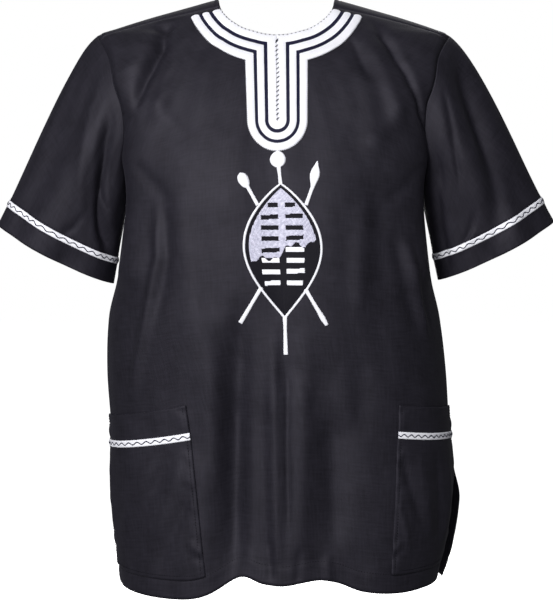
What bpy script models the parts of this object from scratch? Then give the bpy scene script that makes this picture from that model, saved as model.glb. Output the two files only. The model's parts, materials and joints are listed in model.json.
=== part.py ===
"""A short-sleeved tunic shirt with a key-hole neck, standing open as if worn.

Sizes are in millimetres, and MM turns them into Blender's metres. The front faces -Y and up is +Z.
The origin lies midway between the two neck points, where the wearer's shoulders carry the shirt.
Angles round the trunk are polar, in degrees: 0 is centre front, 90 the side seam on the right of a
viewer who looks at the front, -90 the other side seam and 180 centre back. Hand is 1 on the viewer's
right and -1 on the left.
"""
import math
from collections import namedtuple

import bmesh
import bpy
from mathutils import Vector

MM = 0.001

# Cloth and seams
CLOTH = 1.5             # wall of every cloth piece
TRIM = 1.2              # wall of the neck trim
BRAID = 1.0             # wall of the narrow braid
SEAM = 0.6              # gap between two pieces that are sewn edge to edge
LAID = 0.55             # gap under the braid that lies on a pocket
TRIM_LAID = 0.7
POCKET_LAID = 0.7
SLEEVE_BRAID_LAID = 0.75
MERGE_WITHIN = 0.02     # points nearer than this are one

# Trunk sections from the neck points down to the hem
Section = namedtuple("Section", "z half_width front_depth back_depth squareness lean")
SECTIONS = (
    Section(0, 77, 30, 30, 2.0, 0),
    Section(-12, 119, 39, 40, 2.0, 0),
    Section(-25, 164, 48, 50, 2.1, -1),
    Section(-38, 204, 57, 58, 2.2, -2),
    Section(-48, 230, 64, 65, 2.3, -4),
    Section(-75, 239, 82, 80, 2.6, -4),
    Section(-110, 234, 101, 96, 2.9, -3),
    Section(-150, 213, 118, 110, 3.0, -2),
    Section(-200, 195, 133, 120, 3.2, -2),
    Section(-236, 187, 140, 124, 3.2, -2),
    Section(-270, 187, 144, 125, 3.1, -2),
    Section(-320, 195, 146, 124, 2.9, -3),
    Section(-365, 204, 146, 123, 2.7, -3),
    Section(-410, 215, 145, 123, 2.5, -3),
    Section(-480, 221, 143, 125, 2.4, 0),
    Section(-560, 221, 141, 128, 2.4, 5),
    Section(-650, 223, 140, 131, 2.4, 9),
    Section(-760, 209, 138, 131, 2.4, 5),
)

# The cloth has turned a little on its wearer, so centre front wanders to one side
Wander = namedtuple("Wander", "z shift")
CENTRE_WANDER = (
    Wander(0, 0),
    Wander(-200, 0.5),
    Wander(-400, 8),
    Wander(-515, 20),
    Wander(-720, 27),
    Wander(-760, 28),
)

# Neck opening and key-hole slit
NECK_HALF = 75
FRONT_NECK_DROP = 50
BACK_NECK_DROP = 42
NECK_CORNER = 76        # turn round the neck at which the shoulder seam starts, 90 is the neck point
SHOULDER_SEAM = 29      # the seam lies about this far in front of the shoulder's ridge
SLIT_END = -160
SLIT_HALF = 0.5

# Armhole, a squarish ring whose stops are shared by the front, the back and the sleeve
ARMHOLE_HALF_DEPTH = 75
ARMHOLE_HALF_HEIGHT = 95
ARMHOLE_MIDDLE = -141
ARMHOLE_CENTRE = 209
ARMHOLE_SQUARENESS = (1.8, 2.3)     # above and below the middle
ARMHOLE_STOPS = 32
SEAM_STOPS = 2          # stops from the ring's top forward to the shoulder seam

# Hem, side vents and the rise of the lower front towards the middle
HEM = -756
HEM_RISE = 15
RISE_FROM = -240
RISE_OVER = 260         # the rise is whole this far below its start
VENT_TOP = -588
WAVE_FROM = -560        # the hem's own unevenness fades out upwards to here
HemLevel = namedtuple("HemLevel", "angle lift")
FRONT_HEM = (
    HemLevel(-90, 2),
    HemLevel(-62, -10),
    HemLevel(-44, -14),
    HemLevel(-34, -9),
    HemLevel(-18, 11),
    HemLevel(-7, 2),
    HemLevel(4, 0),
    HemLevel(21, 8),
    HemLevel(30, 5),
    HemLevel(40, -4),
    HemLevel(56, -5),
    HemLevel(74, 3),
    HemLevel(90, 12),
)

# Mesh counts
SIDE_CROWDING = 0.3     # 0 spaces the columns evenly, more crowds them towards the sides
LEVEL_FROM = -55        # rows turn from straight in plan to level from here down
LEVEL_OVER = 90
HALF_COLUMNS = 15
LOWER_ROWS = 17
NECK_ROWS = 7
BACK_NECK_ROWS = 9
SLIT_ROWS = 4
SLEEVE_RINGS = 10

# Sleeve
Cuff = namedtuple("Cuff", "x y z")
CUFF_CENTRES = {-1: Cuff(289, 4, -331), 1: Cuff(288, 4, -326)}
CUFF_HALF_WIDTH = 84
CUFF_HALF_DEPTH = 52
CUFF_TILT = 27          # degrees that the cuff's outer end is raised
CUFF_FRONT_DROP = 5
CAP_LIFT = 154          # how much flatter the sleeve leaves the shoulder than a straight tube
CAP_DRAW = 10           # how far the cap's start is drawn back towards the shoulder
CAP_PUFF = 26
CUFF_PULL = 0.9         # how straight the sleeve runs out at the cuff
FOLDS_FROM = 0.25       # the sleeve's folds are whole this far along it
FOLD_END = 60           # how fast a sleeve fold fades past its ends
UNDERARM_LIFT = 2.4     # the sleeve starts this far off the trunk under the arm
RING_GAP = 1.0

# Neck trim
TRIM_HALF_SPAN = 114    # outer edge of the round part, sideways
TRIM_DROP = 89          # outer edge of the round part, downwards
PLACKET_HALF = 39
PLACKET_END = -198
TRIM_COLUMNS = 6
TRIM_TOP_INSET = 2      # the trim stops this far below the shoulder seam's inner end

# Braid
BRAID_WIDTH = 8.5
BRAID_FROM_EDGE = 33    # middle of the braid from the cuff's edge

# Pockets
PocketTop = namedtuple("PocketTop", "z rise")
POCKET_TOPS = {-1: PocketTop(-538, 42), 1: PocketTop(-527, 30)}
POCKET_BOTTOM = -732
POCKET_BRAID_DROP = 37
POCKET_INNER_TOP = 132      # inner edge from centre front, at the top
POCKET_INNER_BOTTOM = 116
POCKET_OUTER_ANGLE = 84
POCKET_COLUMNS = 12
POCKET_ROWS = 8

# Folds: a soft ridge (height above 0) or trough along a line on the trunk
FOLD_RADIUS = 170       # turns an angle into a distance along the cloth
Fold = namedtuple("Fold", "angle_from z_from angle_to z_to width height")
FRONT_FOLDS = (
    Fold(-66, -215, -65, -345, 28, 10),     # edge that laps the sleeve
    Fold(66, -215, 65, -345, 28, 10),
    Fold(-72, -62, -62, -135, 17, 4),       # drag from shoulder to armhole
    Fold(72, -62, 62, -135, 17, 4),
    Fold(-52, -75, -47, -165, 22, -4),
    Fold(52, -75, 47, -165, 22, -3),
    Fold(-22, -530, -24, -760, 24, -7),     # skirt
    Fold(-40, -420, -38, -520, 40, 3),
    Fold(4, -520, 8, -760, 30, 5),
    Fold(32, -560, 33, -760, 24, -4),
    Fold(46, -470, 50, -760, 40, 3),
    Fold(16, -260, 22, -420, 42, 4),
    Fold(-20, -230, -26, -400, 45, 3),
    Fold(90, VENT_TOP - 62, 90, HEM, 32, -6),       # the right vent stands open, its front edge turned in
    Fold(-90, VENT_TOP - 62, -90, HEM, 32, -4),     # the left vent's front edge is turned in a little
)
BACK_FOLDS = (
    Fold(116, -215, 112, -345, 28, 8),
    Fold(-116, -215, -112, -345, 28, 8),
    Fold(150, -210, 158, -420, 30, -5),
    Fold(-146, -190, -156, -470, 32, -5),
    Fold(168, -330, 164, -760, 30, 6),
    Fold(-176, -480, -170, -760, 28, -5),
    Fold(-150, -430, -146, -760, 34, 6),
    Fold(138, -470, 134, -760, 30, -5),
    Fold(90, VENT_TOP - 67, 90, -720, 34, 9),       # the right vent's back edge stands out
    Fold(-90, VENT_TOP - 67, -90, -720, 34, 5),
)
SleeveFold = namedtuple("SleeveFold", "turn_from turn_to along_from along_to width height")
SLEEVE_FOLDS = (
    SleeveFold(-118, -104, 0.25, 0.95, 16, -8),
    SleeveFold(-84, -72, 0.20, 0.85, 17, 5),
    SleeveFold(-52, -44, 0.35, 1.00, 15, -4),
    SleeveFold(70, 78, 0.25, 0.90, 18, 5),
    SleeveFold(108, 98, 0.30, 1.00, 16, -7),
)

# Finish: colour, roughness
BLACK_LINEN = ((0.016, 0.015, 0.021, 1.0), 0.86)
WHITE_TRIM = ((0.86, 0.85, 0.92, 1.0), 0.62)


def clear_scene():
    """Empty the file of the objects a new file starts with."""
    for thing in list(bpy.data.objects):
        bpy.data.objects.remove(thing, do_unlink=True)


def table_value(table, key, column):
    """Read a column of a table on a smooth curve through its rows, by its first column."""
    if abs(key - table[0][0]) + abs(table[-1][0] - key) > abs(table[-1][0] - table[0][0]):
        nearest = min((table[0], table[-1]), key=lambda row: abs(row[0] - key))
        return getattr(nearest, column)
    first = next(i for i in range(len(table) - 1)
                 if min(table[i][0], table[i + 1][0]) <= key <= max(table[i][0], table[i + 1][0]))

    def slope(i):
        before, after = table[max(i - 1, 0)], table[min(i + 1, len(table) - 1)]
        return (getattr(after, column) - getattr(before, column)) / (after[0] - before[0])

    start, end = table[first], table[first + 1]
    span = end[0] - start[0]
    t = (key - start[0]) / span
    return (getattr(start, column) * (2 * t ** 3 - 3 * t ** 2 + 1)
            + slope(first) * span * (t ** 3 - 2 * t ** 2 + t)
            + getattr(end, column) * (3 * t ** 2 - 2 * t ** 3)
            + slope(first + 1) * span * (t ** 3 - t ** 2))


def smooth_step(value):
    """Ease from 0 to 1."""
    t = min(max(value, 0.0), 1.0)
    return t * t * (3 - 2 * t)


def section(z, front):
    """Half width, depth and squareness of the trunk at a height."""
    depth = table_value(SECTIONS, z, "front_depth" if front else "back_depth")
    return table_value(SECTIONS, z, "half_width"), depth, table_value(SECTIONS, z, "squareness")


def trunk(angle, z):
    """Point of the unfolded trunk at a polar angle and height."""
    turn = math.radians(angle)
    side, ahead = math.sin(turn), math.cos(turn)
    width, depth, power = section(z, ahead >= 0)
    radius = ((abs(side) / width) ** power + (abs(ahead) / depth) ** power) ** (-1 / power)
    lean = table_value(SECTIONS, z, "lean") * side ** 2
    return Vector((radius * side + lean, -radius * ahead, z))


def trunk_normal(angle, z):
    """Direction that points out of the trunk."""
    around = trunk(angle + 0.5, z) - trunk(angle - 0.5, z)
    down = trunk(angle, z - 1) - trunk(angle, min(z + 1, 0))
    return down.cross(around).normalized()


def fold_height(folds, angle, z):
    """Sum of the folds near a point of the trunk."""
    total = 0.0
    for fold in folds:
        turned = fold.angle_from + (angle - fold.angle_from + 180) % 360 - 180
        here = Vector((math.radians(turned) * FOLD_RADIUS, z))
        start = Vector((math.radians(fold.angle_from) * FOLD_RADIUS, fold.z_from))
        run = Vector((math.radians(fold.angle_to) * FOLD_RADIUS, fold.z_to)) - start
        along = min(max((here - start).dot(run) / run.length_squared, 0), 1)
        away = (here - start - run * along).length
        total += fold.height * math.exp(-(away / fold.width) ** 2)
    return total


def cloth(folds, angle, z, lift=0.0):
    """Point of a folded panel, moved out by lift."""
    return trunk(angle, z) + trunk_normal(angle, z) * (fold_height(folds, angle, z) + lift)


def angle_at_x(x, z, front=True):
    """Polar angle of the trunk's point that lies at a sideways distance."""
    width, depth, power = section(z, front)
    reach = min(abs(x) / width, 1.0)
    ahead = depth * (1 - reach ** power) ** (1 / power)
    return math.degrees(math.atan2(x, ahead if front else -ahead))


def angle_at_y(y, z):
    """Polar angle, on the +X side, of the trunk's point that lies at a forward distance."""
    width, depth, power = section(z, y < 0)
    across = width * (1 - min(abs(y) / depth, 1.0) ** power) ** (1 / power)
    return math.degrees(math.atan2(across, -y))


def neck_stop(turn):
    """Angle and height of the neckline: turn 0 is centre front, 90 the neck point, 180 the back."""
    front = turn < 90
    drop = FRONT_NECK_DROP if front else BACK_NECK_DROP
    z = -drop * abs(math.cos(math.radians(turn)))
    return angle_at_x(NECK_HALF * math.sin(math.radians(turn)), z, front), z


def armhole_stop(index):
    """Angle and height of an armhole stop: 0 is the top, positive runs down the back."""
    turn = 2 * math.pi * index / ARMHOLE_STOPS
    power = 2 / ARMHOLE_SQUARENESS[0 if math.cos(turn) > 0 else 1]
    y = ARMHOLE_HALF_DEPTH * math.copysign(abs(math.sin(turn)) ** power, math.sin(turn))
    rise = math.copysign(abs(math.cos(turn)) ** power, math.cos(turn))
    z = ARMHOLE_MIDDLE + ARMHOLE_HALF_HEIGHT * rise
    return angle_at_y(y if abs(y) > 0.01 else -0.01, z), z


def rise_at(angle, z):
    """How much the cloth's level lines climb towards centre front, and wave at the hem."""
    ahead = max(math.cos(math.radians(angle)), 0)
    climb = HEM_RISE * ahead ** 2 * smooth_step((RISE_FROM - z) / RISE_OVER)
    wave = table_value(FRONT_HEM, angle, "lift")
    return climb + wave * smooth_step((WAVE_FROM - z) / (WAVE_FROM - HEM))


def place_angle(x, z):
    """Polar angle of the front's point at a sideways place, with the sides' lean taken out."""
    lean = table_value(SECTIONS, z, "lean")
    side = math.sin(math.radians(angle_at_x(x, z)))
    return angle_at_x(x - lean * side ** 2, z)


def centre_angle(z):
    """Angle of centre front after the cloth has turned."""
    return place_angle(table_value(CENTRE_WANDER, z, "shift"), z)


def height_over(x, y):
    """Height of the shoulders' surface above a point of the plan."""
    z, step = -0.5, 2.0
    while step > 0.01:
        width, depth, power = section(z - step, y < 0)
        if (abs(x) / width) ** power + (abs(y) / depth) ** power > 1:
            z -= step
        else:
            step /= 2
    return z


def row_between(inner, outer, columns):
    """Angles and heights along a row of the cloth from its inner to its outer edge.

    Rows over the shoulders are straight in plan, and rows below the chest are level.
    """
    start, end = trunk(*inner), trunk(*outer)
    level = smooth_step((LEVEL_FROM - outer[1]) / LEVEL_OVER)
    stops = []
    for column in range(columns + 1):
        share = column / columns + SIDE_CROWDING * math.sin(math.pi * column / columns) / math.pi
        angle = inner[0] + (outer[0] - inner[0]) * share
        z = inner[1] + (outer[1] - inner[1]) * share
        if level < 1 and 0 < share < 1:
            plan = start.lerp(end, share)
            top = trunk(math.degrees(math.atan2(plan.x, -plan.y)), height_over(plan.x, plan.y))
            mixed = top.lerp(trunk(angle, z), level)
            angle, z = math.degrees(math.atan2(mixed.x, -mixed.y)), mixed.z
        stops.append((angle, z))
    return stops


def spread(first, last, count):
    """Evenly spaced values after the first, up to the last."""
    return [first + (last - first) * (i + 1) / count for i in range(count)]


def half_rows(inner, outer, columns, hand):
    """Rows of stops of one half of a panel, turned to its side of the trunk."""
    rows = []
    for start, end in zip(inner, outer):
        row = row_between(start, end, columns)
        rows.append([(angle * hand, z) for angle, z in row])
    return rows


def front_stops(hand):
    """Rows of the front's half: shoulder seam first, then armhole, then down to the hem."""
    armhole_rows = ARMHOLE_STOPS // 2 - SEAM_STOPS
    inner = [neck_stop(NECK_CORNER * (1 - i / NECK_ROWS)) for i in range(NECK_ROWS + 1)]
    centre = spread(-FRONT_NECK_DROP, SLIT_END, SLIT_ROWS)
    centre += spread(SLIT_END, RISE_FROM, armhole_rows - NECK_ROWS - SLIT_ROWS)
    centre += spread(RISE_FROM, HEM, LOWER_ROWS)
    inner += [(0.0, z) for z in centre]
    outer = [armhole_stop(-i) for i in range(SEAM_STOPS, ARMHOLE_STOPS // 2 + 1)]
    outer += [(90.0, z) for z in spread(outer[-1][1], HEM, LOWER_ROWS)]
    rows = half_rows(inner, outer, HALF_COLUMNS, hand)
    return [[front_place(angle, z) for angle, z in row] for row in rows]


def front_place(angle, z):
    """Turn a level stop of the front into its place on the wearer."""
    turned = angle + centre_angle(z) * (1 - abs(angle) / 90)
    return turned, z + rise_at(turned, z)


def back_stops(hand):
    """Rows of the back's half, which laps over the shoulder to the seam in front of its ridge."""
    armhole_rows = ARMHOLE_STOPS // 2 + SEAM_STOPS
    turns = spread(NECK_CORNER, 180, BACK_NECK_ROWS)
    inner = [neck_stop(NECK_CORNER)] + [neck_stop(turn) for turn in turns]
    centre = spread(-BACK_NECK_DROP, RISE_FROM, armhole_rows - BACK_NECK_ROWS)
    centre += spread(RISE_FROM, HEM, LOWER_ROWS)
    inner += [(180.0, z) for z in centre]
    outer = [armhole_stop(i) for i in range(-SEAM_STOPS, ARMHOLE_STOPS // 2 + 1)]
    outer += [(90.0, z) for z in spread(outer[-1][1], HEM, LOWER_ROWS)]
    return half_rows(inner, outer, HALF_COLUMNS, hand)


def draw_in(points):
    """Shorten a grid of points by half a seam at its shoulder, armhole and side edges."""
    def pull(edge, neighbour):
        return edge + (neighbour - edge).normalized() * (SEAM / 2)

    grid = [list(row) for row in points]
    grid[0] = [pull(edge, under) for edge, under in zip(points[0], points[1])]
    for row in grid:
        row[-1] = pull(row[-1], row[-2])
    return grid


def material(name, finish):
    """Plain cloth material with a colour and a roughness."""
    colour, rough = finish
    dressed = bpy.data.materials.new(name)
    dressed.use_nodes = True
    shader = dressed.node_tree.nodes["Principled BSDF"]
    shader.inputs["Base Color"].default_value = colour
    shader.inputs["Roughness"].default_value = rough
    shader.inputs["Metallic"].default_value = 0.0
    dressed.diffuse_color = colour
    return dressed


def sheet_object(name, grids, wall, finish, collection, ring=False):
    """Make one cloth wall from grids of points that meet at shared edges."""
    shape = bmesh.new()
    for grid in grids:
        rows = [[shape.verts.new(point * MM) for point in row] for row in grid]
        for upper, lower in zip(rows, rows[1:]):
            last = len(upper) if ring else len(upper) - 1
            for i in range(last):
                k = (i + 1) % len(upper)
                shape.faces.new((upper[i], upper[k], lower[k], lower[i]))
    bmesh.ops.remove_doubles(shape, verts=shape.verts, dist=MERGE_WITHIN * MM)
    bmesh.ops.recalc_face_normals(shape, faces=shape.faces)
    mesh = bpy.data.meshes.new(name)
    shape.to_mesh(mesh)
    shape.free()
    mesh.shade_smooth()
    piece = bpy.data.objects.new(name, mesh)
    collection.objects.link(piece)
    mesh.materials.append(material(name, finish))
    thicken = piece.modifiers.new("Cloth", "SOLIDIFY")
    thicken.thickness = wall * MM
    thicken.offset = 0.0
    thicken.use_rim = True
    return piece


def centre_gap(point, hand, half_gap):
    """Hold a point of a half panel off the centre line by half a gap."""
    return Vector((max(point.x * hand, half_gap) * hand, point.y, point.z))


def make_front(collection):
    """Front panel in two halves that part along the key-hole slit."""
    grids = []
    parted = NECK_ROWS + SLIT_ROWS
    for hand in (-1, 1):
        grid = [[cloth(FRONT_FOLDS, *stop) for stop in row] for row in front_stops(hand)]
        grid = draw_in(grid)
        for row in grid[NECK_ROWS:parted]:
            row[0] = centre_gap(row[0], hand, SLIT_HALF)
        grids.append(grid)
    return sheet_object("front", grids, CLOTH, BLACK_LINEN, collection)


def make_back(collection):
    """Back panel, whose halves share the centre line below the neck."""
    grids = []
    for hand in (-1, 1):
        grid = [[cloth(BACK_FOLDS, *stop) for stop in row] for row in back_stops(hand)]
        grids.append(draw_in(grid))
    return sheet_object("back", grids, CLOTH, BLACK_LINEN, collection)


def armhole_point(index, hand):
    """Point of the armhole's edge on whichever panel carries that stop."""
    angle, z = armhole_stop(index)
    if index >= -SEAM_STOPS:
        return cloth(BACK_FOLDS, angle * hand, z), trunk_normal(angle * hand, z)
    placed = front_place(angle * hand, z)
    return cloth(FRONT_FOLDS, *placed), trunk_normal(*placed)


def cuff_point(index, hand):
    """Point of the cuff's edge that an armhole stop leads to."""
    turn = 2 * math.pi * index / ARMHOLE_STOPS
    tilt = math.radians(CUFF_TILT)
    across = CUFF_HALF_WIDTH * math.cos(turn)
    ahead = CUFF_HALF_DEPTH * math.sin(turn)
    drop = CUFF_FRONT_DROP * math.sin(turn) ** 2
    point = Vector(CUFF_CENTRES[hand])
    point += Vector((across * math.cos(tilt), ahead, across * math.sin(tilt) - drop))
    return Vector((point.x * hand, point.y, point.z))


def sleeve_fold(index, along, hand):
    """Sum of the sleeve's folds near a point."""
    turn = 360 * index / ARMHOLE_STOPS
    total = 0.0
    for fold in SLEEVE_FOLDS:
        share = min(max((along - fold.along_from) / (fold.along_to - fold.along_from), 0), 1)
        middle = fold.turn_from + (fold.turn_to - fold.turn_from) * share
        past = max(fold.along_from - along, along - fold.along_to, 0) * FOLD_END
        away = math.hypot(turn - middle, past)
        total += fold.height * math.exp(-(away / fold.width) ** 2)
    return total * smooth_step(along / FOLDS_FROM)


def sleeve_point(index, along, hand, lift=0.0):
    """Point of the sleeve: along is 0 at the armhole and 1 at the cuff's edge."""
    edge, normal = armhole_point(index, hand)
    turn = 2 * math.pi * index / ARMHOLE_STOPS
    under = (1 - math.cos(turn)) / 2
    outward = Vector((hand, 0, 0))
    start = edge + normal * (UNDERARM_LIFT * under ** 2) + outward * (RING_GAP * (1 - under))
    end = cuff_point(index, hand)
    run = end - start
    leave = run + Vector((-CAP_DRAW * hand, 0, CAP_LIFT)) * (1 - under) ** 2
    leave += Vector((0, CAP_PUFF * math.sin(turn), 0))
    t = along
    point = (start * (2 * t ** 3 - 3 * t ** 2 + 1) + leave * (t ** 3 - 2 * t ** 2 + t)
             + end * (3 * t ** 2 - 2 * t ** 3) + run * CUFF_PULL * (t ** 3 - t ** 2))
    axis = Vector((hand * math.sin(math.radians(CUFF_TILT)), 0, -math.cos(math.radians(CUFF_TILT))))
    cuff = CUFF_CENTRES[hand]
    centre = Vector((ARMHOLE_CENTRE * hand, 0, ARMHOLE_MIDDLE))
    centre = centre.lerp(Vector((cuff.x * hand, cuff.y, cuff.z)), t)
    out = point - centre
    out = (out - axis * out.dot(axis)).normalized()
    return point + out * (sleeve_fold(index, along, hand) + lift)


def make_sleeve(name, hand, collection):
    """Sleeve, a tube from the armhole ring to the open cuff."""
    stops = range(-ARMHOLE_STOPS // 2, ARMHOLE_STOPS // 2)
    grid = [[sleeve_point(i, ring / SLEEVE_RINGS, hand) for i in stops]
            for ring in range(SLEEVE_RINGS + 1)]
    return sheet_object(name, [grid], CLOTH, BLACK_LINEN, collection, ring=True)


def make_sleeve_braid(name, hand, collection):
    """Braid that runs round the sleeve above the cuff."""
    lift = (CLOTH + BRAID) / 2 + SLEEVE_BRAID_LAID
    stops = range(-ARMHOLE_STOPS // 2, ARMHOLE_STOPS // 2)
    grid = []
    for side in (-0.5, 0.5):
        row = []
        for i in stops:
            length = (cuff_point(i, hand) - armhole_point(i, hand)[0]).length
            along = 1 - (BRAID_FROM_EDGE + side * BRAID_WIDTH) / length
            row.append(sleeve_point(i, along, hand, lift))
        grid.append(row)
    return sheet_object(name, [grid], BRAID, WHITE_TRIM, collection, ring=True)


def trim_spans():
    """Height, inner and outer edge of the neck trim from the shoulder seam to its round end."""
    top = neck_stop(NECK_CORNER)[1] - TRIM_TOP_INSET
    heights = [top + (-FRONT_NECK_DROP - top) * math.sin(math.pi / 2 * i / 7) for i in range(8)]
    shoulder = -TRIM_DROP * math.sqrt(1 - (PLACKET_HALF / TRIM_HALF_SPAN) ** 2)
    round_top = PLACKET_END + PLACKET_HALF
    heights += spread(-FRONT_NECK_DROP, shoulder, 4) + spread(shoulder, SLIT_END, 4)
    heights += [round_top - PLACKET_HALF * math.sin(math.radians(a)) for a in spread(2, 86, 6)]
    spans = []
    for z in heights:
        inner = SLIT_HALF if z > SLIT_END else 0.0
        if z > -FRONT_NECK_DROP:
            inner = max(NECK_HALF * math.sqrt(1 - (z / FRONT_NECK_DROP) ** 2), SLIT_HALF)
        if z > shoulder:
            outer = TRIM_HALF_SPAN * math.sqrt(1 - (z / TRIM_DROP) ** 2)
            outer = min(outer, trunk(angle_at_y(-SHOULDER_SEAM, z), z).x - SEAM)
        elif z > round_top:
            outer = PLACKET_HALF
        else:
            outer = math.sqrt(PLACKET_HALF ** 2 - (z - round_top) ** 2)
        spans.append((z, inner, outer))
    return spans


def make_neck_trim(collection):
    """Stitched trim round the neck and the key-hole, laid on the front."""
    lift = (CLOTH + TRIM) / 2 + TRIM_LAID
    grids = []
    for hand in (-1, 1):
        grid = []
        for z, inner, outer in trim_spans():
            row = []
            for column in range(TRIM_COLUMNS + 1):
                x = inner + (outer - inner) * column / TRIM_COLUMNS
                row.append(cloth(FRONT_FOLDS, place_angle(x * hand, z), z, lift))
            grid.append(row)
        grids.append(grid)
    return sheet_object("neck_trim", grids, TRIM, WHITE_TRIM, collection)


def pocket_point(across, down, hand, lift):
    """Point of a pocket: across runs from its inner edge to the side, down from top to bottom."""
    top = POCKET_TOPS[hand]
    z = top.z + (POCKET_BOTTOM - top.z) * down
    reach = POCKET_INNER_TOP + (POCKET_INNER_BOTTOM - POCKET_INNER_TOP) * down
    inner = place_angle(table_value(CENTRE_WANDER, z, "shift") + reach * hand, z)
    angle = inner + (POCKET_OUTER_ANGLE * hand - inner) * across
    climb = top.rise * math.cos(math.radians(angle)) ** 2
    height = z + climb * (1 - down) + rise_at(angle, z) * down
    return cloth(FRONT_FOLDS, angle, height, lift)


def make_pocket(name, hand, collection):
    """Patch pocket that wraps from the front to the side seam."""
    lift = CLOTH + POCKET_LAID
    grid = [[pocket_point(c / POCKET_COLUMNS, r / POCKET_ROWS, hand, lift)
             for c in range(POCKET_COLUMNS + 1)] for r in range(POCKET_ROWS + 1)]
    return sheet_object(name, [grid], CLOTH, BLACK_LINEN, collection)


def make_pocket_braid(name, hand, collection):
    """Braid across a pocket, below its turned top."""
    lift = CLOTH + POCKET_LAID + (CLOTH + BRAID) / 2 + LAID
    height = POCKET_TOPS[hand].z - POCKET_BOTTOM
    grid = []
    for side in (-0.5, 0.5):
        down = (POCKET_BRAID_DROP + side * BRAID_WIDTH) / height
        grid.append([pocket_point(c / POCKET_COLUMNS, down, hand, lift)
                     for c in range(POCKET_COLUMNS + 1)])
    return sheet_object(name, [grid], BRAID, WHITE_TRIM, collection)


def main():
    """Make the shirt's pieces in one collection."""
    clear_scene()
    shirt = bpy.data.collections.new("tunic_shirt")
    bpy.context.scene.collection.children.link(shirt)
    make_front(shirt)
    make_back(shirt)
    make_neck_trim(shirt)
    for side, hand in (("left", -1), ("right", 1)):
        make_sleeve("sleeve_" + side, hand, shirt)
        make_sleeve_braid("braid_sleeve_" + side, hand, shirt)
        make_pocket("pocket_" + side, hand, shirt)
        make_pocket_braid("braid_pocket_" + side, hand, shirt)


main()
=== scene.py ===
"""Looks of a short-sleeved tunic shirt with a key-hole neck, standing open as if worn.

Sizes are in millimetres, and MM turns them into Blender's metres. The front faces -Y and up is +Z.
Angles round the trunk are polar, in degrees: 0 is centre front, 180 centre back, and positive angles
lie towards the right of a viewer who looks at the front. Hand is -1 on the left and 1 on the right.
"""
import json
import logging
import math
from collections.abc import Callable
from dataclasses import dataclass
from enum import Enum

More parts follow.
